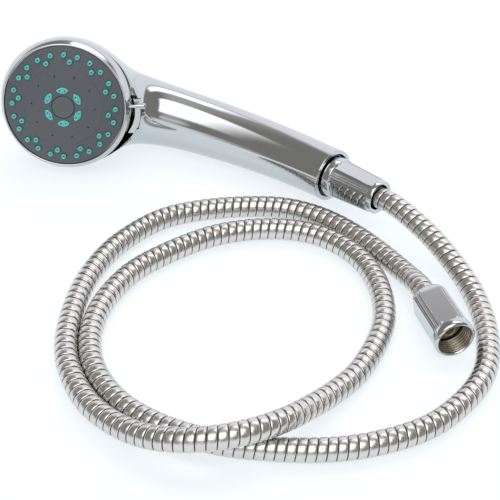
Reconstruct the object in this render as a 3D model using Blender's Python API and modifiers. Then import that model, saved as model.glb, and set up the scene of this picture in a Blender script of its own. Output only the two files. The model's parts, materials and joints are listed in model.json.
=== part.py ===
"""Handheld shower head with its metal hose, laid on a table.

The handset lies on its side with the spray face standing up, its arched handle runs along +X, and the
hose leaves the handle's end and lies in two loose loops on the table.  Metres, +Z up, table at z = 0.
"""

import math

import bmesh
import bpy
import numpy as np
from mathutils import Matrix, Vector

# ---------------------------------------------------------------- driving dimensions (metres, degrees)

GAP = 0.0003                    # clearance left between neighbouring pieces
RUN = 0.0004                    # clearance where one piece turns past another

# where the handset lies: the middle of its handle's open end, and how the spray face is turned
END_POS = (0.1071, -0.0213, 0.0198)
FACE_AZIMUTH = -82.5            # direction the spray face looks, seen from above
FACE_ELEVATION = 20.3           # how far the face looks up from level
HANDLE_DIP = -10.95             # angle of the head-to-handle line from level, measured in the face plane

# spray face
FACE_RADIUS = 0.0400
FACE_CROWN = 0.0045             # height of the domed face at its centre
FACE_WALL = 0.0024
NOZZLE_RADIUS = 0.0018
NOZZLE_RISE = 0.0016            # how far a nozzle stands out of the face
NOZZLE_BORE = 0.00055
OUTER_NOZZLES, OUTER_CIRCLE = 24, 0.0345
INNER_NOZZLES, INNER_CIRCLE = 12, 0.0303
NOZZLE_TURN = 2.4               # the pattern's turn from the handle's plane of symmetry, degrees
JETS, JET_CIRCLE, JET_BORE = 10, 0.0212, 0.0006
INSERTS, INSERT_CIRCLE = 6, 0.0111
INSERT_LENGTH, INSERT_WIDTH = 0.0086, 0.0044
INSERT_RISE = 0.0006
CAP_RADIUS = 0.0074
CAP_THICKNESS = 0.0008
MAT_THICKNESS = 0.0014
MAT_MARGIN = 0.0027             # mat left outside the outermost nozzles' centres
MASSAGE_MAT_MARGIN = 0.0011

# selector ring
RING_LIP = 0.0013               # width of the bright lip round the face
RING_FLARE = 0.0043             # how much wider the ring is at its back than the face
RING_DEPTH = 0.0080
LEVER_ANGLE = 12.0              # lever's place on the ring from the handle's plane
LEVER_REACH = 0.0100            # lever's length beyond the ring
LEVER_WIDTH = 0.0032
GRIP_NOTCHES = 4
DETENT_POSITIONS = 4
DETENT_STEP = 25.0              # turn from one spray pattern to the next

# head and handle shell
SHELL_WALL = 0.0022
DOME_DEPTH = 0.0345             # from the ring's seam to the back of the head
RIM_SEAT_DEPTH = 0.0050         # straight inner seat behind the seam
DOME_POWER = 2.3                # 2 is an ellipsoid, larger is squarer
NECK_OUT = 0.008                # neck point of the handle's arched axis, outside the face's edge
NECK_X = FACE_RADIUS + NECK_OUT
NECK_DEPTH = 0.0368             # and how far it lies behind the face
NECK_SLOPE = 3.86               # the axis leans towards the spray side from here on
ARCH_RADIUS = 0.2500            # radius of the handle's arch
HANDLE_LENGTH = 0.147           # along the arch, from the neck to the open end
NECK_RADIUS = 0.0219
END_RADIUS = 0.0173
NECK_FLATNESS = 0.842           # thickness over width at the neck, round at the end
BLEND = 0.0553                  # size of the soft fillet between head and handle
HANDLE_INSIDE = 0.050           # how far the handle's form runs on into the head

# waterway
TUBE_RADIUS, TUBE_BORE = 0.0060, 0.0046
SPIGOT_RADIUS = 0.0102          # outside of the half-inch pipe thread
SPIGOT_BORE = 0.0045
SPIGOT_STANDOUT = 0.0090        # thread standing out of the handle's end
SPIGOT_DEPTH = 0.0140           # and inside it
SPIGOT_FLANGE = 0.0030
END_RECESS_DEPTH = 0.0050
END_RECESS_WALL = 0.0020

# inside the head
CHAMBER_FLOOR = -0.0052         # front of the chamber plate's floor, below the face's rim
CHAMBER_PLATE = 0.0024
VALVE_DISC = 0.0029
MANIFOLD_DEPTH = 0.0125
MANIFOLD_RADIUS = 0.0366
MANIFOLD_CAVITY = 0.0347
MANIFOLD_WALL = 0.0022
PORT_RADIUS = 0.0016
PORTS_PER_CIRCLE = 4
PORT_TURN = 41.3
ELBOW_RADIUS = 0.0085
ELBOW_X = 0.0040
SCREW_RADIUS, SCREW_LENGTH = 0.0019, 0.0200
SCREW_HEAD_RADIUS, SCREW_HEAD_HEIGHT = 0.0038, 0.0014
BALL_RADIUS = 0.0015
BALL_CIRCLE = 0.0268
BALL_BOSS = 0.0030               # solid post of the manifold that holds the ball
SPRING_WIRE, SPRING_RADIUS, SPRING_TURNS, SPRING_LENGTH = 0.00035, 0.00105, 4, 0.0052

# hose
HOSE_RADIUS = 0.0070
HOSE_STEP = 0.0300              # spacing of the tube's own points

# fittings on the hose's two ends: lengths run from the nut's thread side towards the hose
NUT_BORE = SPIGOT_RADIUS + RUN
WASHER_RADIUS, WASHER_BORE, WASHER_THICKNESS = 0.0097, 0.0052, 0.0020
TAIL_FLANGE_RADIUS, TAIL_FLANGE = 0.0097, 0.0020
TAIL_STEM_RADIUS, TAIL_BORE = 0.0044, 0.0030
FERRULE_WALL = 0.0016
FERRULE_LENGTH = 0.0120
CONE_COLLAR_RADIUS, CONE_COLLAR_LENGTH = 0.0134, 0.0055
CONE_MOUTH_RADIUS = 0.0112
CONE_LENGTH = 0.0392
SUPPLY_MOUTH_RADIUS, SUPPLY_MOUTH_LENGTH = 0.0125, 0.0055
SUPPLY_BODY_RADIUS = 0.0118
SUPPLY_LENGTH = 0.0410
SUPPLY_THREAD_DEPTH = 0.0130

# where the supply nut lies: middle of its mouth, the way the mouth looks, and its tilt up
SUPPLY_POS = (0.2009, -0.1533, 0.0140)
SUPPLY_AZIMUTH = -60.0
SUPPLY_TILT = 2.0

# The hose's way over the table, from the handset to the supply nut: x, y and the lift above the table in
# hose diameters.  The second round crosses over the first one near the front.
ROUTE = (
    (0.1768, -0.0683, 0.8), (0.2012, -0.0948, 0.22), (0.2111, -0.1122, 0), (0.2191, -0.1416, 0),
    (0.2198, -0.1666, 0), (0.2133, -0.1875, 0), (0.1939, -0.2160, 0), (0.1633, -0.2365, 0),
    (0.1374, -0.2458, 0), (0.1066, -0.2509, 0), (0.0818, -0.2519, 0), (0.0482, -0.2461, 0),
    (0.0224, -0.2338, 0), (0.0025, -0.2133, 0), (-0.0079, -0.1894, 0), (-0.0095, -0.1605, 0),
    (-0.0010, -0.1297, 0), (0.0144, -0.1077, 0), (0.0433, -0.0813, 0), (0.0764, -0.0680, 0),
    (0.1048, -0.0680, 0), (0.1290, -0.0798, 0), (0.1476, -0.1027, 0), (0.1577, -0.1388, 0),
    (0.1500, -0.1814, 0), (0.1383, -0.2049, 0.18), (0.1273, -0.2234, 0.5), (0.1178, -0.2382, 0.84),
    (0.1038, -0.2520, 1.07), (0.0829, -0.2627, 1.08), (0.0625, -0.2651, 0.84), (0.0374, -0.2589, 0.4),
    (0.0070, -0.2399, 0.08), (-0.0162, -0.2075, 0), (-0.0247, -0.1719, 0), (-0.0244, -0.1324, 0),
    (-0.0140, -0.0997, 0), (0.0109, -0.0682, 0), (0.0716, -0.0461, 0), (0.1025, -0.0496, 0),
    (0.1339, -0.0665, 0.02), (0.1671, -0.0969, 0.12),
)

# ---------------------------------------------------------------- scene, collections and materials

for old in list(bpy.data.objects):
    bpy.data.objects.remove(old, do_unlink=True)

parts = bpy.data.collections.new("handheld_shower_head")
cutters = bpy.data.collections.new("cutters")
bpy.context.scene.collection.children.link(parts)
bpy.context.scene.collection.children.link(cutters)


def finish(name, colour, roughness, metallic):
    """A Principled material of one colour."""
    made = bpy.data.materials.new(name)
    made.use_nodes = True
    shader = made.node_tree.nodes["Principled BSDF"]
    shader.inputs["Base Color"].default_value = (*colour, 1.0)
    shader.inputs["Roughness"].default_value = roughness
    shader.inputs["Metallic"].default_value = metallic
    return made


chrome = finish("chromed_plastic", (0.78, 0.78, 0.80), 0.06, 1.0)
chromed_brass = finish("chromed_brass", (0.78, 0.78, 0.80), 0.08, 1.0)
hose_steel = finish("chromed_steel_hose", (0.72, 0.72, 0.73), 0.18, 1.0)
grey_abs = finish("grey_abs", (0.085, 0.10, 0.12), 0.45, 0.0)
silicone = finish("teal_silicone", (0.10, 0.50, 0.48), 0.5, 0.0)
white_pom = finish("white_pom", (0.80, 0.80, 0.77), 0.4, 0.0)
black_rubber = finish("black_rubber", (0.02, 0.02, 0.02), 0.7, 0.0)
beige_rubber = finish("beige_rubber", (0.55, 0.47, 0.33), 0.7, 0.0)
brass = finish("brass", (0.70, 0.52, 0.25), 0.3, 1.0)
steel = finish("stainless_steel", (0.60, 0.60, 0.60), 0.3, 1.0)


# ---------------------------------------------------------------- frames

def frame(name, location, columns, parent=None):
    """An empty whose own axes are the three columns."""
    empty = bpy.data.objects.new(name, None)
    turn = Matrix([list(row) for row in np.array(columns).T])
    empty.location = location
    empty.rotation_euler = turn.to_euler()
    empty.parent = parent
    parts.objects.link(empty)
    return empty


def direction(azimuth, elevation):
    """Unit vector from its compass direction and its angle above level."""
    level = math.cos(math.radians(elevation))
    return np.array((level * math.cos(math.radians(azimuth)), level * math.sin(math.radians(azimuth)),
                     math.sin(math.radians(elevation))))


def arch_point(along):
    """A point of the handle's axis in the head's own frame: x towards the handle, z out of the face."""
    lean = math.radians(NECK_SLOPE)
    turned = lean + along / ARCH_RADIUS
    x = NECK_X + ARCH_RADIUS * (math.sin(turned) - math.sin(lean))
    z = -NECK_DEPTH + ARCH_RADIUS * (math.cos(lean) - math.cos(turned))
    return np.array((x, 0.0, z))


face_out = direction(FACE_AZIMUTH, FACE_ELEVATION)
level_line = np.cross((0, 0, 1), face_out)
level_line /= np.linalg.norm(level_line)
face_up = np.cross(face_out, level_line)
dip = math.radians(HANDLE_DIP)
to_handle = math.cos(dip) * level_line + math.sin(dip) * face_up
sideways = np.cross(face_out, to_handle)
head_axes = np.array((to_handle, sideways, face_out))

end_local = arch_point(HANDLE_LENGTH)
end_lean = math.radians(NECK_SLOPE) + HANDLE_LENGTH / ARCH_RADIUS
head_pos = np.array(END_POS) - head_axes.T @ end_local
head_frame = frame("head_frame", head_pos, head_axes)

end_axes = ((0.0, 1.0, 0.0), (-math.sin(end_lean), 0.0, math.cos(end_lean)),
            (math.cos(end_lean), 0.0, math.sin(end_lean)))
end_frame = frame("handle_end_frame", end_local, end_axes, head_frame)

supply_out = direction(SUPPLY_AZIMUTH, SUPPLY_TILT)
supply_side = np.cross((0, 0, 1), supply_out)
supply_side /= np.linalg.norm(supply_side)
supply_axes = (supply_side, np.cross(supply_out, supply_side), supply_out)
supply_frame = frame("supply_frame", SUPPLY_POS, supply_axes)


# ---------------------------------------------------------------- modelling helpers

def place(made, material, parent, collection=parts):
    """Put a new object in its collection and on its frame."""
    collection.objects.link(made)
    made.parent = parent
    if collection is cutters:
        made.hide_render = True
        made.display_type = 'WIRE'
    else:
        made.data.materials.append(material)
    return made


def turned(name, profile, material, parent, steps=48, collection=parts, closed=True, offset=(0, 0, 0)):
    """Turn a profile of (radius, height) points round Z; it runs down its outer side."""
    mesh = bpy.data.meshes.new(name)
    points = [(radius, 0.0, height) for radius, height in profile]
    edges = [(i, i + 1) for i in range(len(points) - 1)]
    if closed:
        edges.append((len(points) - 1, 0))
    mesh.from_pydata(points, edges, [])
    made = bpy.data.objects.new(name, mesh)
    screw = made.modifiers.new("turn", 'SCREW')
    screw.axis = 'Z'
    screw.steps = screw.render_steps = steps
    screw.use_merge_vertices = True
    screw.merge_threshold = 0.00001
    screw.use_smooth_shade = True
    made.location = offset
    return place(made, material, parent, collection)


def disc(name, radius, top, bottom, material, parent, steps=48, collection=parts):
    """A plain turned cylinder."""
    profile = ((0, top), (radius, top), (radius, bottom), (0, bottom))
    return turned(name, profile, material, parent, steps, collection, closed=False)


def band(name, outer, inner, top, bottom, material, parent, steps=48, collection=parts):
    """A plain turned sleeve or washer."""
    profile = ((inner, top), (outer, top), (outer, bottom), (inner, bottom))
    return turned(name, profile, material, parent, steps, collection)


def torus(name, major, minor, height, material, parent, steps=40, around=8):
    """A rubber ring with a round section."""
    angles = [math.pi / 2 - math.tau * i / around for i in range(around)]
    profile = [(major + minor * math.cos(a), height + minor * math.sin(a)) for a in angles]
    return turned(name, profile, material, parent, steps)


def pins(name, places, radius, parent, sides=8, tip=None, collection=cutters):
    """Upright round pins, each at (x, y, top, bottom), in one mesh."""
    work = bmesh.new()
    for x, y, top, bottom in places:
        where = Matrix.Translation((x, y, (top + bottom) / 2))
        bmesh.ops.create_cone(work, cap_ends=True, segments=sides, radius1=radius,
                              radius2=radius if tip is None else tip, depth=top - bottom, matrix=where)
    mesh = bpy.data.meshes.new(name)
    work.to_mesh(mesh)
    work.free()
    return place(bpy.data.objects.new(name, mesh), None, parent, collection)


def combine(made, other, operation='DIFFERENCE'):
    """Cut a piece by a cutter, or join the cutter on."""
    step = made.modifiers.new(other.name, 'BOOLEAN')
    step.operation = operation
    step.object = other
    step.solver = 'EXACT'
    return made


def on_circle(count, radius, turn=0.0):
    """Even places round the head's axis, the first one turned from the handle's plane."""
    angles = [math.radians(turn) + math.tau * i / count for i in range(count)]
    return [(radius * math.cos(a), radius * math.sin(a)) for a in angles]


def tube_mesh(name, points, radius, material, parent, resolution=3, collection=parts):
    """A round tube along the points, as a welded closed mesh."""
    curve = bpy.data.curves.new(name, 'CURVE')
    curve.dimensions = '3D'
    curve.bevel_depth = radius
    curve.bevel_resolution = resolution
    curve.use_fill_caps = True
    curve.resolution_u = 1
    curve.render_resolution_u = 0
    line = curve.splines.new('POLY')
    line.points.add(len(points) - 1)
    for spot, point in zip(line.points, points):
        spot.co = (*point, 1.0)
    draft = bpy.data.objects.new(name + "_draft", curve)
    bpy.context.scene.collection.objects.link(draft)
    bpy.context.view_layer.update()
    mesh = bpy.data.meshes.new_from_object(draft.evaluated_get(bpy.context.evaluated_depsgraph_get()))
    work = bmesh.new()
    work.from_mesh(mesh)
    bmesh.ops.remove_doubles(work, verts=work.verts, dist=0.000001)
    work.to_mesh(mesh)
    work.free()
    bpy.data.objects.remove(draft)
    mesh.name = name
    mesh.materials.clear()
    mesh.shade_smooth()
    mesh.set_sharp_from_angle(angle=math.radians(50))
    return place(bpy.data.objects.new(name, mesh), material, parent, collection)


# ---------------------------------------------------------------- the shell's form

SEAM = -(RING_DEPTH + RUN * 2)          # front edge of the shell, behind the selector ring
SHELL_RADIUS = FACE_RADIUS + RING_FLARE - RUN


def head_distance(p):
    """Signed distance, nearly, to the head's dome: a superellipsoid about the seam plane."""
    side = np.hypot(p[..., 0], p[..., 1])
    depth = np.abs(p[..., 2] - SEAM)
    share = (side / SHELL_RADIUS) ** DOME_POWER + (depth / DOME_DEPTH) ** DOME_POWER
    share = np.maximum(share, 1e-9) ** (1 / DOME_POWER)
    return np.hypot(side, depth) * (1 - 1 / share)


def handle_radius(along):
    """Half width of the handle: slim at its end, fuller at the neck, tapering again inside the head."""
    outward = np.clip(1 - along / HANDLE_LENGTH, 0, 2) ** 1.5
    inward = 0.010 * np.log1p(np.exp(-along / 0.010))
    return END_RADIUS + (NECK_RADIUS - END_RADIUS) * outward - 0.36 * inward


def handle_distance(p):
    """Signed distance, nearly, to the arched handle."""
    lean = math.radians(NECK_SLOPE)
    centre = np.array((NECK_X - ARCH_RADIUS * math.sin(lean), -NECK_DEPTH + ARCH_RADIUS * math.cos(lean)))
    dx = p[..., 0] - centre[0]
    dz = p[..., 2] - centre[1]
    along = ARCH_RADIUS * (np.arctan2(dx, -dz) - lean)
    off = np.hypot(dx, dz) - ARCH_RADIUS
    share = np.clip(along / HANDLE_LENGTH, 0, 1)
    flatness = NECK_FLATNESS + (1 - NECK_FLATNESS) * share * share * (3 - 2 * share)
    short = np.maximum(-HANDLE_INSIDE - along, 0)
    reach = np.sqrt((off / flatness) ** 2 + p[..., 1] ** 2 + short ** 2)
    return reach - handle_radius(np.maximum(along, -HANDLE_INSIDE))


def shell_distance(p):
    """Head and handle joined by a soft fillet."""
    head = head_distance(p)
    handle = handle_distance(p)
    near = np.maximum(BLEND - np.abs(head - handle), 0) / BLEND
    return np.minimum(head, handle) - near ** 3 * BLEND / 6


def shell_loft(name, inset, over, across, along_count, around, material, collection):
    """The shell's outside, or its inside at the inset, from the head's far edge to past the open end.

    Rays go out from a line inside the form, in planes across it, and stop where the form's distance
    is minus the inset.
    """
    radius = SHELL_RADIUS - inset
    share = np.linspace(0, 1, across + 1)[1:]
    spread = (1 - np.cos(share * math.pi * 0.62)) / (1 - math.cos(math.pi * 0.62))
    head_x = -radius + (radius + NECK_X) * spread
    bend = math.radians(NECK_SLOPE)
    middle = []
    for x in head_x:
        deep = arch_point((max(x, 0.0) - NECK_X))[2]
        rise = math.sqrt(max(1 - (min(x, 0.0) / radius) ** 2, 0.0))
        middle.append((x, SEAM + (deep - SEAM) * rise, 0.0))
    for step in np.linspace(0, HANDLE_LENGTH + over, along_count + 1)[1:]:
        spot = arch_point(step)
        middle.append((spot[0], spot[2], bend + step / ARCH_RADIUS))
    middle = np.array(middle)
    start = np.stack((middle[:, 0], np.zeros(len(middle)), middle[:, 1]), 1)[:, None, :]
    around_angle = math.tau * np.arange(around) / around
    up = np.stack((-np.sin(middle[:, 2]), np.zeros(len(middle)), np.cos(middle[:, 2])), 1)
    way = np.cos(around_angle)[None, :, None] * np.array((0, 1.0, 0)) \
        + np.sin(around_angle)[None, :, None] * up[:, None, :]
    low = np.zeros(way.shape[:2])
    high = np.full(way.shape[:2], 0.08)
    for _ in range(36):
        half = (low + high) / 2
        inside = shell_distance(start + half[..., None] * way) + inset < 0
        low = np.where(inside, half, low)
        high = np.where(inside, high, half)
    rings = start + low[..., None] * way
    count = len(middle)
    points = [(-radius, 0.0, SEAM)] + [tuple(point) for ring in rings for point in ring]
    faces = [(0, 1 + (i + 1) % around, 1 + i) for i in range(around)]
    for ring in range(count - 1):
        here, there = 1 + ring * around, 1 + (ring + 1) * around
        faces += [(here + i, here + (i + 1) % around, there + (i + 1) % around, there + i)
                  for i in range(around)]
    faces.append(tuple(1 + (count - 1) * around + i for i in range(around)))
    mesh = bpy.data.meshes.new(name)
    mesh.from_pydata(points, [], faces)
    work = bmesh.new()
    work.from_mesh(mesh)
    bmesh.ops.recalc_face_normals(work, faces=work.faces)
    work.to_mesh(mesh)
    work.free()
    mesh.shade_smooth()
    return place(bpy.data.objects.new(name, mesh), material, head_frame, collection)


# ---------------------------------------------------------------- handle shell

handle_shell = shell_loft("handle_shell", 0.0, 0.0, 17, 10, 26, chrome, parts)
inside = shell_loft("cut_shell_inside", SHELL_WALL, 0.004, 11, 8, 20, None, cutters)
mouth = disc("cut_head_mouth", SHELL_RADIUS + 0.0090, SEAM + 2 * DOME_DEPTH, SEAM, None, head_frame, 24,
             cutters)
recess = disc("cut_end_recess", END_RADIUS - END_RECESS_WALL, 0.004, -END_RECESS_DEPTH, None, end_frame, 32,
              cutters)
rim = disc("cut_rim_seat", SHELL_RADIUS - SHELL_WALL + GAP, SEAM + 0.001, SEAM - RIM_SEAT_DEPTH, None, head_frame,
           32, cutters)
for cutter in (inside, mouth, rim, recess):
    combine(handle_shell, cutter)


# ---------------------------------------------------------------- spray face

def face_height(radius):
    """Height of the domed face above its rim."""
    return FACE_CROWN * (1 - (radius / FACE_RADIUS) ** 2)


def face_arc(inner, outer, drop, count):
    """Points of the dome's curve from one radius to another, lowered by the drop."""
    return [(radius, face_height(radius) - drop) for radius in np.linspace(inner, outer, count)]


cap_pocket = CAP_RADIUS + GAP
hub_radius = INSERT_CIRCLE - INSERT_WIDTH / 2 - 2 * GAP
screw_hole = SCREW_RADIUS + RUN
cap_under = face_height(CAP_RADIUS) - CAP_THICKNESS
pocket_floor = cap_under - SCREW_HEAD_HEIGHT - 2 * GAP
hub_back = -FACE_WALL
nozzles = [(x, y, OUTER_CIRCLE) for x, y in on_circle(OUTER_NOZZLES, OUTER_CIRCLE, NOZZLE_TURN + 7.5)]
nozzles += [(x, y, INNER_CIRCLE) for x, y in on_circle(INNER_NOZZLES, INNER_CIRCLE, NOZZLE_TURN)]
inserts = [(radius_angle, INSERT_CIRCLE) for radius_angle in
           [math.radians(NOZZLE_TURN + 9.6) + math.tau * (i + 0.5) / INSERTS for i in range(INSERTS)]]


def almonds(name, length, width, top, bottom, parent, collection=cutters):
    """Pointed ovals round the face's centre, each with its long way along the circle."""
    bulge = (length ** 2 / 4 - width ** 2 / 4) / width
    arc_radius = bulge + width / 2
    half = math.asin(length / 2 / arc_radius)
    outline = [(arc_radius * math.cos(a) - bulge, arc_radius * math.sin(a))
               for a in np.linspace(-half, half, 5)]
    outline += [(-x, -y) for x, y in outline[1:-1]]
    work = bmesh.new()
    for angle, circle in inserts:
        out = Vector((math.cos(angle), math.sin(angle), 0))
        along = Vector((-math.sin(angle), math.cos(angle), 0))
        lower = [work.verts.new(out * (circle + x) + along * y + Vector((0, 0, bottom))) for x, y in outline]
        made = work.faces.new(lower)
        grown = bmesh.ops.extrude_face_region(work, geom=[made])
        lifted = [item for item in grown["geom"] if isinstance(item, bmesh.types.BMVert)]
        bmesh.ops.translate(work, verts=lifted, vec=(0, 0, top - bottom))
    bmesh.ops.recalc_face_normals(work, faces=work.faces)
    mesh = bpy.data.meshes.new(name)
    work.to_mesh(mesh)
    work.free()
    return place(bpy.data.objects.new(name, mesh), None, parent, collection)


plate_profile = [(screw_hole, pocket_floor), (cap_pocket, pocket_floor)]
plate_profile += face_arc(cap_pocket, FACE_RADIUS, 0.0, 4)
plate_profile += face_arc(FACE_RADIUS, hub_radius, FACE_WALL, 3)
plate_profile += [(hub_radius, hub_back), (screw_hole, hub_back)]
face_plate = turned("face_plate", plate_profile, grey_abs, head_frame, 32)
through = FACE_CROWN + 0.002
combine(face_plate, pins("cut_nozzle_holes", [(x, y, through, -0.004) for x, y, _ in nozzles],
                         NOZZLE_RADIUS + GAP, head_frame, 6))
combine(face_plate, pins("cut_jet_holes", [(x, y, through, -0.004) for x, y in
                                           on_circle(JETS, JET_CIRCLE, NOZZLE_TURN + 5.6)],
                         JET_BORE, head_frame, 4))
combine(face_plate, almonds("cut_insert_holes", INSERT_LENGTH + 3 * GAP, INSERT_WIDTH + 2 * GAP, through,
                            -0.004, head_frame))

centre_cap = turned("centre_cap", ((0, face_height(0)), (CAP_RADIUS, face_height(CAP_RADIUS)),
                                   (CAP_RADIUS, cap_under), (0, cap_under)), grey_abs, head_frame, 32,
                    closed=False)


def mat(name, inner, outer):
    """The silicone sheet behind the face, on the same dome."""
    drop = FACE_WALL + GAP
    profile = face_arc(inner, outer, drop, 3) + face_arc(outer, inner, drop + MAT_THICKNESS, 3)
    return turned(name, profile, silicone, head_frame, 32)


nozzle_mat = mat("nozzle_mat", INNER_CIRCLE - MAT_MARGIN, OUTER_CIRCLE + MAT_MARGIN + GAP)
mat_middle = FACE_WALL + GAP + MAT_THICKNESS / 2
combine(nozzle_mat, pins("join_nozzles", [(x, y, face_height(r) + NOZZLE_RISE, face_height(r) - mat_middle)
                                          for x, y, r in nozzles], NOZZLE_RADIUS, head_frame, 6), 'UNION')
combine(nozzle_mat, pins("cut_nozzle_bores", [(x, y, through, -0.006) for x, y, _ in nozzles], NOZZLE_BORE,
                         head_frame, 4))

massage_mat = mat("massage_mat", hub_radius + GAP, INSERT_CIRCLE + INSERT_WIDTH / 2 + MASSAGE_MAT_MARGIN)
combine(massage_mat, almonds("join_inserts", INSERT_LENGTH, INSERT_WIDTH,
                             face_height(INSERT_CIRCLE) + INSERT_RISE,
                             face_height(INSERT_CIRCLE) - mat_middle, head_frame), 'UNION')
insert_bores = []
for angle, circle in inserts:
    for side in (-1, 1):
        turn = angle + side * INSERT_LENGTH * 0.19 / circle
        insert_bores.append((circle * math.cos(turn), circle * math.sin(turn), through, -0.006))
combine(massage_mat, pins("cut_insert_bores", insert_bores, NOZZLE_BORE, head_frame, 4))

# ---------------------------------------------------------------- chamber plate behind the face

chamber_back = CHAMBER_FLOOR - CHAMBER_PLATE
wall = 0.0011
mat_edge = GAP * 2
wall_starts = (INSERT_CIRCLE + INSERT_WIDTH / 2 + MASSAGE_MAT_MARGIN + mat_edge,
               INNER_CIRCLE - MAT_MARGIN - mat_edge - wall,
               OUTER_CIRCLE + MAT_MARGIN + GAP + mat_edge)


def wall_top(radius):
    """Just short of the face plate's back."""
    return face_height(radius) - FACE_WALL - GAP


chamber_profile = [(screw_hole, CHAMBER_FLOOR)]
for start in wall_starts:
    chamber_profile += [(start, CHAMBER_FLOOR), (start, wall_top(start + wall)),
                        (start + wall, wall_top(start + wall)), (start + wall, CHAMBER_FLOOR)]
chamber_profile[-1] = (wall_starts[-1] + wall, chamber_back)
chamber_profile.append((screw_hole, chamber_back))
chamber_plate = turned("chamber_plate", chamber_profile, white_pom, head_frame, 28)
port_circles = (INSERT_CIRCLE, JET_CIRCLE, (INNER_CIRCLE + OUTER_CIRCLE) / 2)


def ports(name, top, bottom, spread):
    """Round ports, a set for each chamber, each circle turned on from the one inside it."""
    places = []
    for i, circle in enumerate(port_circles):
        places += [(x, y, top, bottom) for x, y in on_circle(PORTS_PER_CIRCLE, circle, PORT_TURN + i * spread)]
    return pins(name, places, PORT_RADIUS, head_frame, 6)


combine(chamber_plate, ports("cut_chamber_ports", 0.0, chamber_back - 0.001, 0.0))

# ---------------------------------------------------------------- selector ring and valve disc

disc_front = chamber_back - GAP
disc_back = disc_front - VALVE_DISC
disc_radius = port_circles[-1] + PORT_RADIUS + 0.0009
web_front = disc_front - 0.0013
ring_inner = wall_starts[-1] + wall + RUN
ring_outer = FACE_RADIUS + RING_FLARE
shell_inner = SHELL_RADIUS - SHELL_WALL
plate_edge = FACE_RADIUS + GAP
lip_edge = plate_edge + RING_LIP
ring_profile = (
    (plate_edge, 0.0002), (plate_edge + RING_LIP * 0.5, 0.0005), (lip_edge, 0.0001),
    (lip_edge + (ring_outer - lip_edge) * 0.35, -RING_DEPTH * 0.16),
    (lip_edge + (ring_outer - lip_edge) * 0.75, -RING_DEPTH * 0.48), (ring_outer, -RING_DEPTH * 0.88),
    (ring_outer, -RING_DEPTH), (shell_inner - RUN, -RING_DEPTH), (shell_inner - RUN, disc_back),
    (disc_radius + GAP, disc_back), (disc_radius + GAP, web_front), (ring_inner, web_front),
    (ring_inner, -FACE_WALL - RUN), (plate_edge, -FACE_WALL - RUN),
)
selector_ring = turned("selector_ring", ring_profile, chrome, head_frame, 36)


def lever():
    """The pointed thumb lever: a fin that stands off the ring and narrows to its tip."""
    root, tip = ring_outer - 0.0016, ring_outer + LEVER_REACH
    high, low = -RING_DEPTH * 0.22, -RING_DEPTH * 0.95
    half = LEVER_WIDTH / 2
    outline = ((root, high, half), (root, low, half), (tip, -RING_DEPTH * 0.55, half * 0.8),
               (tip, low, half * 0.8))
    work = bmesh.new()
    corners = {}
    for i, (x, z, y) in enumerate(outline):
        for side in (-1, 1):
            corners[i, side] = work.verts.new((x, side * y, z))
    for side in (-1, 1):
        work.faces.new([corners[i, side] for i in (0, 1, 3, 2)])
    for a, b in ((0, 1), (1, 3), (3, 2), (2, 0)):
        work.faces.new([corners[a, -1], corners[b, -1], corners[b, 1], corners[a, 1]])
    bmesh.ops.recalc_face_normals(work, faces=work.faces)
    turn = Matrix.Rotation(math.radians(LEVER_ANGLE), 4, 'Z')
    bmesh.ops.transform(work, matrix=turn, verts=work.verts)
    mesh = bpy.data.meshes.new("join_lever")
    work.to_mesh(mesh)
    work.free()
    return place(bpy.data.objects.new("join_lever", mesh), None, head_frame, cutters)


combine(selector_ring, lever(), 'UNION')
notch_step = 0.0026 / ring_outer
notch_places = []
for i in range(GRIP_NOTCHES):
    turn = math.radians(LEVER_ANGLE + 180) + (i - (GRIP_NOTCHES - 1) / 2) * notch_step
    reach = ring_outer + 0.0002
    notch_places.append((reach * math.cos(turn), reach * math.sin(turn), 0.0, -RING_DEPTH * 0.7))
combine(selector_ring, pins("cut_grip_notches", notch_places, 0.0006, head_frame, 8))

valve_disc = band("valve_disc", disc_radius, screw_hole, disc_front, disc_back, white_pom, head_frame, 32)
combine(valve_disc, ports("cut_valve_ports", disc_front + 0.001, disc_back - 0.001, DETENT_STEP))
track_floor = disc_back + 0.0011
combine(valve_disc, band("cut_detent_track", BALL_CIRCLE + BALL_RADIUS + RUN, BALL_CIRCLE - BALL_RADIUS - RUN,
                         track_floor, disc_back - 0.002, None, head_frame, 32, cutters))
# the click pockets in the track's floor, one for each spray pattern
ball_angle = 90.0
first = LEVER_ANGLE - DETENT_STEP * (DETENT_POSITIONS - 1) / 2
pocket_angles = [math.radians(ball_angle - (first + DETENT_STEP * (i + 1) - LEVER_ANGLE) - 0.5 * DETENT_STEP)
                 for i in range(DETENT_POSITIONS)]
combine(valve_disc, pins("cut_click_pockets", [(BALL_CIRCLE * math.cos(a), BALL_CIRCLE * math.sin(a),
                                                track_floor + 0.0004, disc_back) for a in pocket_angles],
                         0.0008, head_frame, 6))

# ---------------------------------------------------------------- manifold, screw, detent and seals

manifold_front = disc_back - RUN
gasket = 0.0008
manifold_back = manifold_front - MANIFOLD_DEPTH
tube_start = -NECK_X + ELBOW_X + ELBOW_RADIUS * 0.45
elbow_end = arch_point(tube_start)[2] - TUBE_RADIUS - 0.0014
manifold = disc("head_manifold", MANIFOLD_RADIUS, manifold_front, manifold_back, white_pom, head_frame, 32)
elbow = turned("join_elbow", ((0, manifold_back + 0.001), (ELBOW_RADIUS, manifold_back + 0.001),
                              (ELBOW_RADIUS, elbow_end), (0, elbow_end)), None, head_frame, 24, cutters,
               closed=False, offset=(ELBOW_X, 0, 0))
combine(manifold, elbow, 'UNION')
boss = SCREW_RADIUS + 0.0030
ball_place = on_circle(1, BALL_CIRCLE, ball_angle)[0]
post = [(*ball_place, manifold_front + 0.002, manifold_back)]
cavity = band("cut_manifold_cavity", MANIFOLD_CAVITY, boss, manifold_front - gasket - GAP - MANIFOLD_WALL,
              manifold_back + MANIFOLD_WALL, None, head_frame, 32, cutters)
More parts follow.
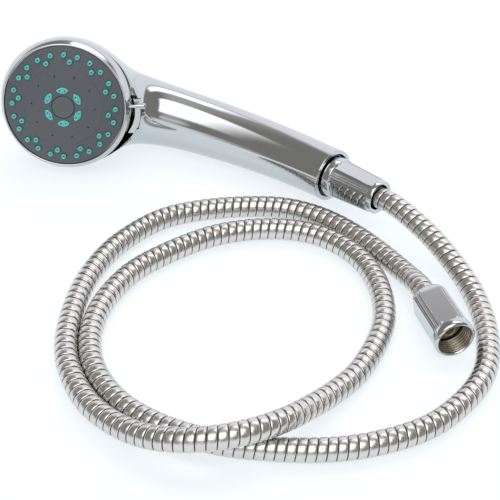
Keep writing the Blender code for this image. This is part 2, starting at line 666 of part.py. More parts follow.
combine(cavity, pins("keep_post_in_cavity", post, BALL_BOSS, head_frame, 12))
combine(manifold, cavity)
seat = band("cut_gasket_seat", MANIFOLD_CAVITY, boss, manifold_front + 0.001, manifold_front - gasket - GAP, None,
            head_frame, 32, cutters)
combine(seat, pins("keep_post_in_seat", post, BALL_BOSS, head_frame, 12))
combine(manifold, seat)
combine(manifold, ports("cut_manifold_ports", manifold_front, manifold_front - 0.005, 0.0))
combine(manifold, disc("cut_screw_hole", screw_hole, manifold_front + 0.001, hub_back - SCREW_LENGTH, None,
                       head_frame, 16, cutters))
combine(manifold, pins("cut_elbow_bore", [(ELBOW_X + 0.0030, 0, manifold_back + 0.004,
                                           arch_point(tube_start)[2])], TUBE_BORE * 0.8, head_frame, 12))
socket_points = [arch_point(step) for step in np.linspace(tube_start, tube_start + 0.014, 4)]
combine(manifold, tube_mesh("cut_tube_socket", socket_points, TUBE_RADIUS + GAP, None, head_frame, 3, cutters))
combine(manifold, pins("cut_ball_pocket", [(*ball_place, manifold_front + 0.001, manifold_front - 0.0085)],
                       BALL_RADIUS + GAP, head_frame, 12))

diverter_gasket = band("diverter_gasket", MANIFOLD_CAVITY - GAP, boss + GAP, manifold_front,
                       manifold_front - gasket, black_rubber, head_frame, 32)
combine(diverter_gasket, ports("cut_gasket_ports", manifold_front + 0.001, manifold_front - 0.002, 0.0))
combine(diverter_gasket, pins("cut_gasket_post_hole", post, BALL_BOSS + GAP, head_frame, 12))

screw_top = pocket_floor + GAP + SCREW_HEAD_HEIGHT
screw_bottom = screw_top - SCREW_HEAD_HEIGHT - SCREW_LENGTH
centre_screw = turned("centre_screw", ((0, screw_top), (SCREW_HEAD_RADIUS, screw_top),
                                       (SCREW_HEAD_RADIUS, screw_top - SCREW_HEAD_HEIGHT),
                                       (SCREW_RADIUS, screw_top - SCREW_HEAD_HEIGHT),
                                       (SCREW_RADIUS, screw_bottom), (0, screw_bottom)), steel, head_frame, 20,
                      closed=False)

ball_x, ball_y = ball_place
ball_z = track_floor - GAP - BALL_RADIUS
work = bmesh.new()
bmesh.ops.create_uvsphere(work, u_segments=10, v_segments=7, radius=BALL_RADIUS)
ball_mesh = bpy.data.meshes.new("detent_ball")
work.to_mesh(ball_mesh)
work.free()
ball_mesh.shade_smooth()
detent_ball = bpy.data.objects.new("detent_ball", ball_mesh)
detent_ball.location = (ball_x, ball_y, ball_z)
place(detent_ball, steel, head_frame)

spring_top = ball_z - BALL_RADIUS - GAP - SPRING_WIRE
coil = []
for i in range(SPRING_TURNS * 9 + 1):
    angle = math.tau * i / 9
    coil.append((ball_x + SPRING_RADIUS * math.cos(angle), ball_y + SPRING_RADIUS * math.sin(angle),
                 spring_top - SPRING_LENGTH * i / (SPRING_TURNS * 9)))
tube_mesh("detent_spring", coil, SPRING_WIRE, steel, head_frame, 1)

# ---------------------------------------------------------------- waterway through the handle

tube_end = HANDLE_LENGTH - 0.0060
step_count = 12
tube_points = [arch_point(step) for step in np.linspace(tube_start + GAP, tube_end, step_count)]
water_tube = tube_mesh("water_tube", tube_points, TUBE_RADIUS, white_pom, head_frame, 3)
bore_points = [arch_point(step) for step in np.linspace(tube_start - 0.002, tube_end + 0.002, step_count)]
combine(water_tube, tube_mesh("cut_tube_bore", bore_points, TUBE_BORE, None, head_frame, 2, cutters))

arch_sag = SPIGOT_DEPTH ** 2 / (2 * ARCH_RADIUS)
spigot_flange_radius = END_RADIUS - SHELL_WALL - arch_sag - RUN
seal_pocket = 0.0080
screen_pocket = 0.0075
spigot_profile = (
    (screen_pocket, SPIGOT_STANDOUT), (SPIGOT_RADIUS, SPIGOT_STANDOUT),
    (SPIGOT_RADIUS, -SPIGOT_DEPTH + SPIGOT_FLANGE), (spigot_flange_radius, -SPIGOT_DEPTH + SPIGOT_FLANGE),
    (spigot_flange_radius, -SPIGOT_DEPTH), (seal_pocket, -SPIGOT_DEPTH), (seal_pocket, -0.0050),
    (SPIGOT_BORE, -0.0050), (SPIGOT_BORE, SPIGOT_STANDOUT - 0.0030),
    (screen_pocket, SPIGOT_STANDOUT - 0.0030),
)
turned("inlet_spigot", spigot_profile, chromed_brass, end_frame, 24)
seal_middle = (seal_pocket + TUBE_RADIUS) / 2
torus("inlet_o_ring", seal_middle, (seal_pocket - TUBE_RADIUS) / 2 - GAP, -0.0090, black_rubber, end_frame, 20, 6)
screen_z = SPIGOT_STANDOUT - 0.0030 + GAP
filter_screen = disc("filter_screen", screen_pocket - GAP, screen_z + 0.0008, screen_z, steel, end_frame, 20)
mesh_holes = [(0.0, 0.0)] + on_circle(6, 0.0022) + on_circle(10, 0.0040)
combine(filter_screen, pins("cut_screen_holes", [(x, y, screen_z + 0.002, screen_z - 0.002)
                                                 for x, y in mesh_holes], 0.0007, end_frame, 4))
band("flow_restrictor", SPIGOT_BORE - GAP, 0.0016, 0.0030, 0.0008, white_pom, end_frame, 20)

# ---------------------------------------------------------------- fittings at the two ends of the hose


def hose_fitting(prefix, parent, washer_face, into, washer_material):
    """Washer, brass tail and crimp ferrule.  into is +1 where the hose leaves along +Z, else -1."""
    def at(distance):
        return washer_face + into * distance

    def ordered(profile):
        return profile if into > 0 else [(r, z) for r, z in reversed(profile)]

    washer_far = WASHER_THICKNESS
    flange_near = washer_far + GAP
    flange_far = flange_near + TAIL_FLANGE
    ferrule_near = flange_far + GAP
    ferrule_far = ferrule_near + FERRULE_LENGTH
    sleeve = HOSE_RADIUS + 0.0006
    turned(prefix + "_washer", ordered([(WASHER_BORE, at(washer_far)), (WASHER_RADIUS, at(washer_far)),
                                        (WASHER_RADIUS, at(0)), (WASHER_BORE, at(0))]),
           washer_material, parent, 24)
    turned(prefix + "_hose_tail",
           ordered([(TAIL_BORE, at(ferrule_far - GAP)), (TAIL_STEM_RADIUS, at(ferrule_far - GAP)),
                    (TAIL_STEM_RADIUS, at(flange_far)), (TAIL_FLANGE_RADIUS, at(flange_far)),
                    (TAIL_FLANGE_RADIUS, at(flange_near)), (TAIL_BORE, at(flange_near))]),
           brass, parent, 24)
    turned(prefix + "_ferrule",
           ordered([(sleeve - FERRULE_WALL, at(ferrule_far)), (sleeve, at(ferrule_far)),
                    (sleeve, at(ferrule_near)), (sleeve - FERRULE_WALL, at(ferrule_near))]),
           steel, parent, 24)
    return at(ferrule_far + GAP), at(flange_far)


nut_waist = HOSE_RADIUS + 0.0006 + RUN
cone_start = 0.0006
hose_begin, cone_shoulder = hose_fitting("cone", end_frame, SPIGOT_STANDOUT + GAP, 1, black_rubber)
cone_far = cone_start + CONE_LENGTH
cone_profile = (
    (nut_waist + 0.0004, cone_far), (CONE_MOUTH_RADIUS - 0.0008, cone_far),
    (CONE_MOUTH_RADIUS, cone_far - 0.0010),
    (CONE_COLLAR_RADIUS - 0.0004, cone_start + CONE_COLLAR_LENGTH + 0.0004),
    (CONE_COLLAR_RADIUS, cone_start + CONE_COLLAR_LENGTH),
    (CONE_COLLAR_RADIUS, cone_start + 0.0008), (CONE_COLLAR_RADIUS - 0.0008, cone_start),
    (NUT_BORE, cone_start), (NUT_BORE, cone_shoulder + RUN), (nut_waist, cone_shoulder + RUN),
    (nut_waist, cone_far - 0.0020),
)
turned("cone_nut", cone_profile, chromed_brass, end_frame, 32)

tail_depth = -SUPPLY_THREAD_DEPTH
hose_finish, supply_shoulder = hose_fitting("supply", supply_frame, tail_depth, -1, beige_rubber)
supply_profile = (
    (NUT_BORE + 0.0005, 0.0), (SUPPLY_MOUTH_RADIUS - 0.0008, 0.0), (SUPPLY_MOUTH_RADIUS, -0.0010),
    (SUPPLY_MOUTH_RADIUS, -SUPPLY_MOUTH_LENGTH), (SUPPLY_BODY_RADIUS, -SUPPLY_MOUTH_LENGTH - 0.0010),
    (SUPPLY_BODY_RADIUS - 0.0006, -SUPPLY_LENGTH + 0.0030), (SUPPLY_BODY_RADIUS - 0.0026, -SUPPLY_LENGTH),
    (nut_waist, -SUPPLY_LENGTH), (nut_waist, supply_shoulder - RUN), (NUT_BORE, supply_shoulder - RUN),
    (NUT_BORE, -0.0010),
)
turned("supply_nut", supply_profile, chromed_brass, supply_frame, 32)

# ---------------------------------------------------------------- hose

end_out = head_axes.T @ np.array((math.cos(end_lean), 0.0, math.sin(end_lean)))


def smooth_line(route, spacing):
    """Even points on a smooth curve through the route: cubic stretches with chord-length timing."""
    route = np.array(route)
    chord = np.sqrt(np.linalg.norm(np.diff(route, axis=0), axis=1))
    time = np.concatenate(((0,), np.cumsum(chord)))
    slope = np.gradient(route, time, axis=0)
    fine = []
    for i in range(len(route) - 1):
        span = time[i + 1] - time[i]
        u = np.linspace(0, 1, 24, endpoint=False)[:, None]
        fine.append((2 * u ** 3 - 3 * u ** 2 + 1) * route[i] + (u ** 3 - 2 * u ** 2 + u) * span * slope[i]
                    + (3 * u ** 2 - 2 * u ** 3) * route[i + 1] + (u ** 3 - u ** 2) * span * slope[i + 1])
    fine = np.concatenate(fine + [route[-1:]])
    length = np.concatenate(((0,), np.cumsum(np.linalg.norm(np.diff(fine, axis=0), axis=1))))
    wanted = np.linspace(0, length[-1], round(length[-1] / spacing) + 1)
    even = np.stack([np.interp(wanted, length, fine[:, axis]) for axis in range(3)], 1)
    even[:, 2] = np.maximum(even[:, 2], HOSE_RADIUS)
    return even


def hose_points():
    """Straight out of the cone, over the table in a smooth line, and straight into the supply nut."""
    out = [np.array(END_POS) + end_out * reach for reach in (hose_begin, cone_far + 0.002, cone_far + 0.010)]
    table = [np.array((x, y, HOSE_RADIUS * (1 + 2 * lift))) for x, y, lift in ROUTE]
    back = [np.array(SUPPLY_POS) + supply_out * reach
            for reach in (-SUPPLY_LENGTH - 0.010, -SUPPLY_LENGTH - 0.003, hose_finish)]
    free = smooth_line(out[1:] + table + back[:-1], HOSE_STEP)
    return [out[0], *free, back[-1]]


tube_mesh("hose", hose_points(), HOSE_RADIUS, hose_steel, None, 3)
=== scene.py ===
"""Handheld shower head with its metal hose, lying on a pale table."""

import json
import math

import bmesh
import bpy
import numpy as np
from mathutils import Matrix


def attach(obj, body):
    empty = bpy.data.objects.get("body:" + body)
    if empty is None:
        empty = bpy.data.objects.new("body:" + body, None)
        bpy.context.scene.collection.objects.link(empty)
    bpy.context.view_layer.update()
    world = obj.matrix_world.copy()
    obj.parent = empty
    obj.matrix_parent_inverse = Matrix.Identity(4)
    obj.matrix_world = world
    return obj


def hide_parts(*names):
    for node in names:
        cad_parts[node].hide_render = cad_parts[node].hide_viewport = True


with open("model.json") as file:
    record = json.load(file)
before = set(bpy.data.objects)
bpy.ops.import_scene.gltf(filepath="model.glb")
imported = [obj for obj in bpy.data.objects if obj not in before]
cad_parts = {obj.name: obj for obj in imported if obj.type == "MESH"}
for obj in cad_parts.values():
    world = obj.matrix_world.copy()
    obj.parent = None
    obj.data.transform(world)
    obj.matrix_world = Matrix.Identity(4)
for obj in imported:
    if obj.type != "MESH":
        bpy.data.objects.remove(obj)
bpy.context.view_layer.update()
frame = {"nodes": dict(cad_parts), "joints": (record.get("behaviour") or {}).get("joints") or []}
nodes = frame["nodes"]
joints = {joint["name"]: joint for joint in frame["joints"]}

# ---------------------------------------------------------------- camera
# A short telephoto lens in front of the object, looking down on it from a little to the right.

camera = bpy.data.objects.new("camera", bpy.data.cameras.new("camera"))
camera.data.lens = 100.3
camera.data.sensor_width = 36.0
camera.data.clip_start = 0.05
camera.location = (0.20613, -0.74222, 0.57294)
camera.rotation_euler = (math.radians(90 - 40.375), 0.0, math.radians(12.105))
bpy.context.scene.collection.objects.link(camera)
bpy.context.scene.camera = camera
bpy.context.scene.view_settings.view_transform = "Standard"

# ---------------------------------------------------------------- table and studio
# A white table top, and round it a light studio: pale wall behind, dim room at the sides, and two
# soft boxes, a long one overhead and one in front.  Bright metal shows all of them.


def linear(code):
    """A colour from its sRGB hex code: each channel is undone by the sRGB curve."""
    channels = np.array([int(code[i:i + 2], 16) for i in (1, 3, 5)]) / 255
    undone = np.where(channels <= 0.04045, channels / 12.92, ((channels + 0.055) / 1.055) ** 2.4)
    return (*undone.tolist(), 1.0)


def add_node(tree, kind, inputs=None, **settings):
    """Add a node with its settings; an input is a value, or the socket that feeds it."""
    node = tree.nodes.new(kind)
    for name, value in settings.items():
        setattr(node, name, value)
    for name, value in (inputs or {}).items():
        if isinstance(value, bpy.types.NodeSocket):
            tree.links.new(value, node.inputs[name])
        else:
            node.inputs[name].default_value = value
    return node


def finish(name, colour, metallic, roughness):
    """An empty finish: its material, tree, shader and object coordinates."""
    made = bpy.data.materials.new(name)
    made.use_nodes = True
    tree = made.node_tree
    shader = tree.nodes["Principled BSDF"]
    shader.inputs["Base Color"].default_value = linear(colour)
    shader.inputs["Metallic"].default_value = metallic
    shader.inputs["Roughness"].default_value = roughness
    place = add_node(tree, "ShaderNodeTexCoord").outputs["Object"]
    return made, tree, shader, place


def relief(tree, shader, place, feature, height, detail=2.0):
    """Surface relief: noise with features of one size and height, both in millimetres."""
    noise = add_node(tree, "ShaderNodeTexNoise", {"Vector": place, "Scale": 1000 / feature, "Detail": detail})
    bump = add_node(tree, "ShaderNodeBump", {"Height": noise.outputs["Fac"], "Distance": height / 1000})
    tree.links.new(bump.outputs["Normal"], shader.inputs["Normal"])


def uneven(tree, shader, place, socket, feature, low, high, detail=3.0):
    """A socket that drifts between two values over noise with features of one size, in millimetres."""
    noise = add_node(tree, "ShaderNodeTexNoise", {"Vector": place, "Scale": 1000 / feature, "Detail": detail})
    spread = add_node(tree, "ShaderNodeMapRange", {"Value": noise.outputs["Fac"], "From Min": 0.3,
                                                   "From Max": 0.7, "To Min": low, "To Max": high})
    tree.links.new(spread.outputs["Result"], shader.inputs[socket])


table_mesh = bpy.data.meshes.new("table_top")
table_mesh.from_pydata([(-9, -9, 0), (9, -9, 0), (9, 9, 0), (-9, 9, 0)], [], [(0, 1, 2, 3)])
table = bpy.data.objects.new("table_top", table_mesh)
bpy.context.scene.collection.objects.link(table)
light_table, tree, shader, place = finish("lit_white_acrylic", "#8f9294", 0.0, 0.9)
shader.inputs["Specular IOR Level"].default_value = 0.1
shader.inputs["Emission Color"].default_value = linear("#f6fcff")
shader.inputs["Emission Strength"].default_value = 0.75
uneven(tree, shader, place, "Roughness", 40, 0.85, 0.95)
table_mesh.materials.append(light_table)

dome = bpy.data.worlds.new("studio_dome")
bpy.context.scene.world = dome
dome.use_nodes = True
tree = dome.node_tree
way = add_node(tree, "ShaderNodeTexCoord").outputs["Generated"]
parts_of_way = add_node(tree, "ShaderNodeSeparateXYZ", {"Vector": way})


def fade(value, start, end, low=0.0, high=1.0):
    """A value that goes smoothly from low to high as the other goes from start to end."""
    made = add_node(tree, "ShaderNodeMapRange",
                    {"Value": value, "From Min": start, "From Max": end, "To Min": low, "To Max": high},
                    interpolation_type="SMOOTHSTEP")
    return made.outputs["Result"]


def times(first, second):
    """The product of two values."""
    made = add_node(tree, "ShaderNodeMath", {0: first, 1: second}, operation="MULTIPLY")
    return made.outputs["Value"]


def mixed(share, first, second):
    """One colour turning into another."""
    made = add_node(tree, "ShaderNodeMix", {"Factor": share}, data_type="RGBA")
    for place_in, value in ((6, first), (7, second)):
        if isinstance(value, bpy.types.NodeSocket):
            tree.links.new(value, made.inputs[place_in])
        else:
            made.inputs[place_in].default_value = value
    return made.outputs[2]


x, y, z = (parts_of_way.outputs[name] for name in "XYZ")
forward = times(y, -1.0)
climb = add_node(tree, "ShaderNodeMath", {0: z, 1: forward}, operation="ARCTAN2").outputs["Value"]


def band(value, first, second, third, fourth):
    """One between the second and third values, fading to nothing at the first and fourth."""
    return times(fade(value, first, second), fade(value, fourth, third))


def rise(*degrees):
    """Angles over the front horizon, in radians."""
    return [math.radians(angle) for angle in degrees]


room = mixed(band(x, -0.36, -0.02, 0.12, 0.42), (0.285, 0.272, 0.252, 1.0), (0.56, 0.545, 0.52, 1.0))
card = times(fade(climb, *rise(13, 5)), band(x, -0.85, -0.30, 0.35, 0.8))
near_room = mixed(card, room, (0.98, 1.04, 1.05, 1.0))
shelf = times(band(climb, *rise(13, 17, 22, 26)), band(x, -0.34, -0.16, 0.25, 0.4))
near_room = mixed(shelf, near_room, (0.78, 0.77, 0.74, 1.0))
front_box = times(band(climb, *rise(31, 42, 80, 88)), band(x, -0.62, -0.18, 0.36, 0.5))
lit_room = mixed(front_box, near_room, (2.3, 2.3, 2.33, 1.0))
wall = mixed(fade(climb, *rise(130, 146)), lit_room, (1.14, 1.11, 1.19, 1.0))
strip = times(band(climb, *rise(110, 119, 131, 137)), band(x, -0.17, -0.07, 0.5, 0.7))
studio = mixed(strip, wall, (2.1, 2.1, 2.12, 1.0))
below = mixed(fade(z, 0.0, -0.02), studio, (0.98, 1.04, 1.05, 1.0))
tree.links.new(below, tree.nodes["Background"].inputs["Color"])
tree.nodes["Background"].inputs["Strength"].default_value = 1.0

overhead = bpy.data.lights.new("overhead_soft_box", "AREA")
overhead.shape = "RECTANGLE"
overhead.size, overhead.size_y = 1.6, 0.8
overhead.energy = 9
overhead_box = bpy.data.objects.new("overhead_soft_box", overhead)
overhead_box.location = (0.05, 0.60, 1.30)
overhead_box.rotation_euler = (math.radians(-24), 0.0, 0.0)
overhead_box.visible_glossy = False
bpy.context.scene.collection.objects.link(overhead_box)

# ---------------------------------------------------------------- hose
# Half-inch shower hose: an interlocked strip of chromed steel wound round a plastic inner hose, with a
# seam at each turn.  It leaves the handset's cone, lies in two loose rounds and ends in the supply nut.

HOSE_RADIUS = 0.0070
STRIP_PITCH = 0.0054
END_POS = np.array(joints["cone_nut_spin"]["pos_m"])
END_OUT = np.array(joints["cone_nut_spin"]["axis"])
SUPPLY_POS = np.array(joints["supply_nut_spin"]["pos_m"])
SUPPLY_OUT = np.array(joints["supply_nut_spin"]["axis"])
HOSE_BEGIN, CONE_FAR = 0.0262, 0.0398      # along the cone nut's axis from the handle's end
HOSE_FINISH, SUPPLY_LENGTH = -0.0299, 0.0410

# x, y and the lift above the table in hose diameters
ROUTE = (
    (0.1768, -0.0683, 0.8), (0.2012, -0.0948, 0.22), (0.2111, -0.1122, 0), (0.2191, -0.1416, 0),
    (0.2198, -0.1666, 0), (0.2133, -0.1875, 0), (0.1939, -0.2160, 0), (0.1633, -0.2365, 0),
    (0.1374, -0.2458, 0), (0.1066, -0.2509, 0), (0.0818, -0.2519, 0), (0.0482, -0.2461, 0),
    (0.0224, -0.2338, 0), (0.0025, -0.2133, 0), (-0.0079, -0.1894, 0), (-0.0095, -0.1605, 0),
    (-0.0010, -0.1297, 0), (0.0144, -0.1077, 0), (0.0433, -0.0813, 0), (0.0764, -0.0680, 0),
    (0.1048, -0.0680, 0), (0.1290, -0.0798, 0), (0.1476, -0.1027, 0), (0.1577, -0.1388, 0),
    (0.1500, -0.1814, 0), (0.1383, -0.2049, 0.18), (0.1273, -0.2234, 0.5), (0.1178, -0.2382, 0.84),
    (0.1038, -0.2520, 1.07), (0.0829, -0.2627, 1.08), (0.0625, -0.2651, 0.84), (0.0374, -0.2589, 0.4),
    (0.0070, -0.2399, 0.08), (-0.0162, -0.2075, 0), (-0.0247, -0.1719, 0), (-0.0244, -0.1324, 0),
    (-0.0140, -0.0997, 0), (0.0109, -0.0682, 0), (0.0716, -0.0461, 0), (0.1025, -0.0496, 0),
    (0.1339, -0.0665, 0.02), (0.1671, -0.0969, 0.12),
)


def smooth_line(route):
    """Points on a smooth curve through the route: cubic stretches, timed by the root of each chord."""
    route = np.array(route)
    chord = np.sqrt(np.linalg.norm(np.diff(route, axis=0), axis=1))
    time = np.concatenate(((0,), np.cumsum(chord)))
    slope = np.gradient(route, time, axis=0)
    u = np.linspace(0, 1, 24, endpoint=False)[None, :, None]
    span = np.diff(time)[:, None, None]
    fine = ((2 * u ** 3 - 3 * u ** 2 + 1) * route[:-1, None]
            + (u ** 3 - 2 * u ** 2 + u) * span * slope[:-1, None]
            + (3 * u ** 2 - 2 * u ** 3) * route[1:, None]
            + (u ** 3 - u ** 2) * span * slope[1:, None])
    return np.concatenate((fine.reshape(-1, 3), route[-1:]))


def even_points(line, count):
    """The same line as evenly spaced points, and its length."""
    length = np.concatenate(((0,), np.cumsum(np.linalg.norm(np.diff(line, axis=0), axis=1))))
    wanted = np.linspace(0, length[-1], count)
    return np.stack([np.interp(wanted, length, line[:, axis]) for axis in range(3)], 1), length[-1]


route_points = [END_POS + END_OUT * reach for reach in (HOSE_BEGIN, CONE_FAR + 0.002, CONE_FAR + 0.010)]
table_points = [(px, py, HOSE_RADIUS * (1 + 2 * lift)) for px, py, lift in ROUTE]
back_points = [SUPPLY_POS + SUPPLY_OUT * reach
               for reach in (-SUPPLY_LENGTH - 0.010, -SUPPLY_LENGTH - 0.003, HOSE_FINISH)]
free_line = smooth_line(route_points[1:] + table_points + back_points[:-1])
free_line[:, 2] = np.maximum(free_line[:, 2], HOSE_RADIUS)
hose_line = np.concatenate((route_points[:1], free_line, back_points[-1:]))
centreline, hose_length = even_points(hose_line, 321)


def welded(name, points, faces, attributes=None, sharp=40.0, collection=None):
    """A closed smooth-shaded piece from points and faces: doubles merged, normals turned outwards."""
    mesh = bpy.data.meshes.new(name)
    mesh.from_pydata(np.asarray(points).reshape(-1, 3), [], faces)
    for key, values in (attributes or {}).items():
        made = mesh.attributes.new(key, "FLOAT", "POINT")
        made.data.foreach_set("value", np.asarray(values, float).ravel())
    work = bmesh.new()
    work.from_mesh(mesh)
    bmesh.ops.remove_doubles(work, verts=work.verts, dist=0.000002)
    bmesh.ops.dissolve_degenerate(work, edges=work.edges, dist=0.000001)
    open_edges = [edge for edge in work.edges if edge.is_boundary]
    if open_edges:
        bmesh.ops.holes_fill(work, edges=open_edges, sides=0)
    bmesh.ops.recalc_face_normals(work, faces=work.faces)
    work.to_mesh(mesh)
    work.free()
    mesh.shade_smooth()
    mesh.set_sharp_from_angle(angle=math.radians(sharp))
    piece = bpy.data.objects.new(name, mesh)
    (collection or bpy.context.scene.collection).objects.link(piece)
    return piece


def seated(piece, material, body, slot, *replaced):
    """Give a piece its finish and its body, and hide the CAD nodes it stands for; the slot is not used."""
    piece.data.materials.append(material)
    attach(piece, body)
    if replaced:
        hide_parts(*replaced)
    return piece


def wound_strip(line, length, radius, pitch, around):
    """The wound strip's surface: its section's rows run on a helix, one pitch along for each turn round,
    so the last column joins the first one a whole turn further on.  Gives points, faces and groove."""
    share = np.array((0.0, 0.055, 0.10, 0.17, 0.36, 0.60, 0.80, 0.91, 0.965))
    drop = np.array((0.60, 0.58, 0.24, 0.07, 0.0, 0.0, 0.07, 0.17, 0.38)) / 1000
    rows = len(share)
    turns = int(length / pitch) + 3
    base = ((np.arange(turns)[:, None] - 1 + share[None, :]) * pitch).ravel()
    along = base[:, None] + pitch * np.arange(around)[None, :] / around
    sunk = np.broadcast_to(np.tile(drop, turns)[:, None], along.shape)
    inside = (along > 0) & (along < length)
    sunk = np.where(inside, sunk, 0.0005)
    along = np.clip(along, 0, length)
    step = np.concatenate(((0,), np.cumsum(np.linalg.norm(np.diff(line, axis=0), axis=1))))
    tangent = np.gradient(line, step, axis=0)
    centre = np.stack([np.interp(along, step, line[:, axis]) for axis in range(3)], -1)
    forward = np.stack([np.interp(along, step, tangent[:, axis]) for axis in range(3)], -1)
    forward /= np.linalg.norm(forward, axis=-1, keepdims=True)
    side = np.cross(forward, (0.0, 0.0, 1.0))
    side /= np.linalg.norm(side, axis=-1, keepdims=True)
    up = np.cross(side, forward)
    angle = math.tau * np.arange(around)[None, :, None] / around
    points = centre + (radius - sunk)[..., None] * (np.cos(angle) * side + np.sin(angle) * up)
    index = np.arange(points.shape[0] * around).reshape(-1, around)
    here = index[:-rows]
    right = np.concatenate((here[:, 1:], index[rows:, :1]), 1)
    faces = np.stack((here[:-1], right[:-1], right[1:], here[1:]), -1).reshape(-1, 4)
    return points, faces.tolist(), sunk / drop.max()


points, faces, groove = wound_strip(centreline, hose_length, HOSE_RADIUS, STRIP_PITCH, 26)
hose = welded("metal_hose", points, faces, {"groove": groove}, sharp=60)

# Chromed steel strip: a bright plate drawn through rollers, so fine lines run along it and the shine
# is a little wide; the seams get painted shade, a dark brown mixed in by their depth.
hose_chrome, tree, shader, place = finish("chromed_steel_strip", "#d6d5d2", 1.0, 0.26)
# Painted shade in the seams: the deeper the strip sinks, the more dark brown goes into its colour.
sunk_in = add_node(tree, "ShaderNodeAttribute", attribute_name="groove").outputs["Fac"]
painted_seam_shade = add_node(tree, "ShaderNodeMapRange", {"Value": sunk_in, "From Min": 0.42, "From Max": 0.85},
                interpolation_type="SMOOTHSTEP").outputs["Result"]
plate_noise = add_node(tree, "ShaderNodeTexNoise", {"Vector": place, "Scale": 1000 / 6.0, "Detail": 2.0})
plate = add_node(tree, "ShaderNodeValToRGB", {"Fac": plate_noise.outputs["Fac"]})
plate.color_ramp.elements[0].color = linear("#cecbc6")
plate.color_ramp.elements[1].color = linear("#dbdbd9")
plate_and_seam_shade = add_node(tree, "ShaderNodeMix", {"Factor": painted_seam_shade}, data_type="RGBA")
tree.links.new(plate.outputs["Color"], plate_and_seam_shade.inputs[6])
plate_and_seam_shade.inputs[7].default_value = linear("#4a443e")
tree.links.new(plate_and_seam_shade.outputs[2], shader.inputs["Base Color"])
uneven(tree, shader, place, "Roughness", 1.2, 0.20, 0.33)
relief(tree, shader, place, 0.9, 0.006)
seated(hose, hose_chrome, "handset", "hose_metal", "hose")

# ---------------------------------------------------------------- handle shell
# The dome behind the spray face and the arched handle are one hollow moulding of ABS, chrome-plated and
# polished, with a rolled lip round its open end.

HEAD_POS = np.array(joints["selector_turn"]["pos_m"])
FACE_OUT = np.array(joints["selector_turn"]["axis"])
HANDLE_DIP = math.radians(-10.95)
RING_DEPTH, RING_FLARE, FACE_RADIUS = 0.0080, 0.0043, 0.0400
SEAM = -(RING_DEPTH + 0.0008)
SHELL_RADIUS = FACE_RADIUS + RING_FLARE - 0.0004
SHELL_WALL, END_WALL = 0.0022, 0.0026
DOME_DEPTH, DOME_POWER = 0.0345, 2.3
NECK_X, NECK_DEPTH, NECK_SLOPE = 0.048, 0.0368, math.radians(3.86)
ARCH_RADIUS, HANDLE_LENGTH = 0.2500, 0.147
NECK_RADIUS, END_RADIUS, NECK_FLATNESS = 0.0219, 0.0173, 0.842
BLEND, HANDLE_INSIDE = 0.0553, 0.050

level_line = np.cross((0, 0, 1), FACE_OUT)
level_line /= np.linalg.norm(level_line)
TO_HANDLE = math.cos(HANDLE_DIP) * level_line + math.sin(HANDLE_DIP) * np.cross(FACE_OUT, level_line)
HEAD_AXES = np.array((TO_HANDLE, np.cross(FACE_OUT, TO_HANDLE), FACE_OUT))


def arch(along):
    """The handle's axis, an arc of one radius from the neck: x and z in the head's frame."""
    turned = NECK_SLOPE + along / ARCH_RADIUS
    return (NECK_X + ARCH_RADIUS * (np.sin(turned) - math.sin(NECK_SLOPE)),
            -NECK_DEPTH + ARCH_RADIUS * (math.cos(NECK_SLOPE) - np.cos(turned)))


def shell_distance(p):
    """Nearly the distance to the shell: a superellipsoid dome and a tapering arched tube, joined by a
    soft fillet that takes a cube of their closeness off the smaller distance."""
    across, deep = np.hypot(p[..., 0], p[..., 1]), np.abs(p[..., 2] - SEAM)
    share = (across / SHELL_RADIUS) ** DOME_POWER + (deep / DOME_DEPTH) ** DOME_POWER
    head = np.hypot(across, deep) * (1 - 1 / np.maximum(share, 1e-9) ** (1 / DOME_POWER))
    dx = p[..., 0] - (NECK_X - ARCH_RADIUS * math.sin(NECK_SLOPE))
    dz = p[..., 2] - (-NECK_DEPTH + ARCH_RADIUS * math.cos(NECK_SLOPE))
    along = ARCH_RADIUS * (np.arctan2(dx, -dz) - NECK_SLOPE)
    off = np.hypot(dx, dz) - ARCH_RADIUS
    part_way = np.clip(along / HANDLE_LENGTH, 0, 1)
    flatness = NECK_FLATNESS + (1 - NECK_FLATNESS) * part_way ** 2 * (3 - 2 * part_way)
    short = np.maximum(-HANDLE_INSIDE - along, 0)
    along = np.maximum(along, -HANDLE_INSIDE)
    taper = np.clip(1 - along / HANDLE_LENGTH, 0, 2) ** 1.5
    half_width = (END_RADIUS + (NECK_RADIUS - END_RADIUS) * taper
                  - 0.36 * 0.010 * np.log1p(np.exp(-along / 0.010)))
    handle = np.sqrt((off / flatness) ** 2 + p[..., 1] ** 2 + short ** 2) - half_width
    near = np.maximum(BLEND - np.abs(head - handle), 0) / BLEND
    return np.minimum(head, handle) - near ** 3 * BLEND / 6


def shell_rows(stations, insets, around):
    """Rows of the shell's section: rays leave a line inside the form, square to it, and stop where the
    distance is minus the row's inset, found by halving."""
    angle = math.tau * np.arange(around) / around
    up = np.stack((-np.sin(stations[:, 2]), np.zeros(len(stations)), np.cos(stations[:, 2])), 1)
    way = np.cos(angle)[None, :, None] * np.array((0, 1.0, 0)) + np.sin(angle)[None, :, None] * up[:, None, :]
    start = np.stack((stations[:, 0], np.zeros(len(stations)), stations[:, 1]), 1)[:, None, :]
    low, high = np.zeros(way.shape[:2]), np.full(way.shape[:2], 0.08)
    for _ in range(40):
        half = (low + high) / 2
        within = shell_distance(start + half[..., None] * way) + insets[:, None] < 0
        low, high = np.where(within, half, low), np.where(within, high, half)
    return start + low[..., None] * way


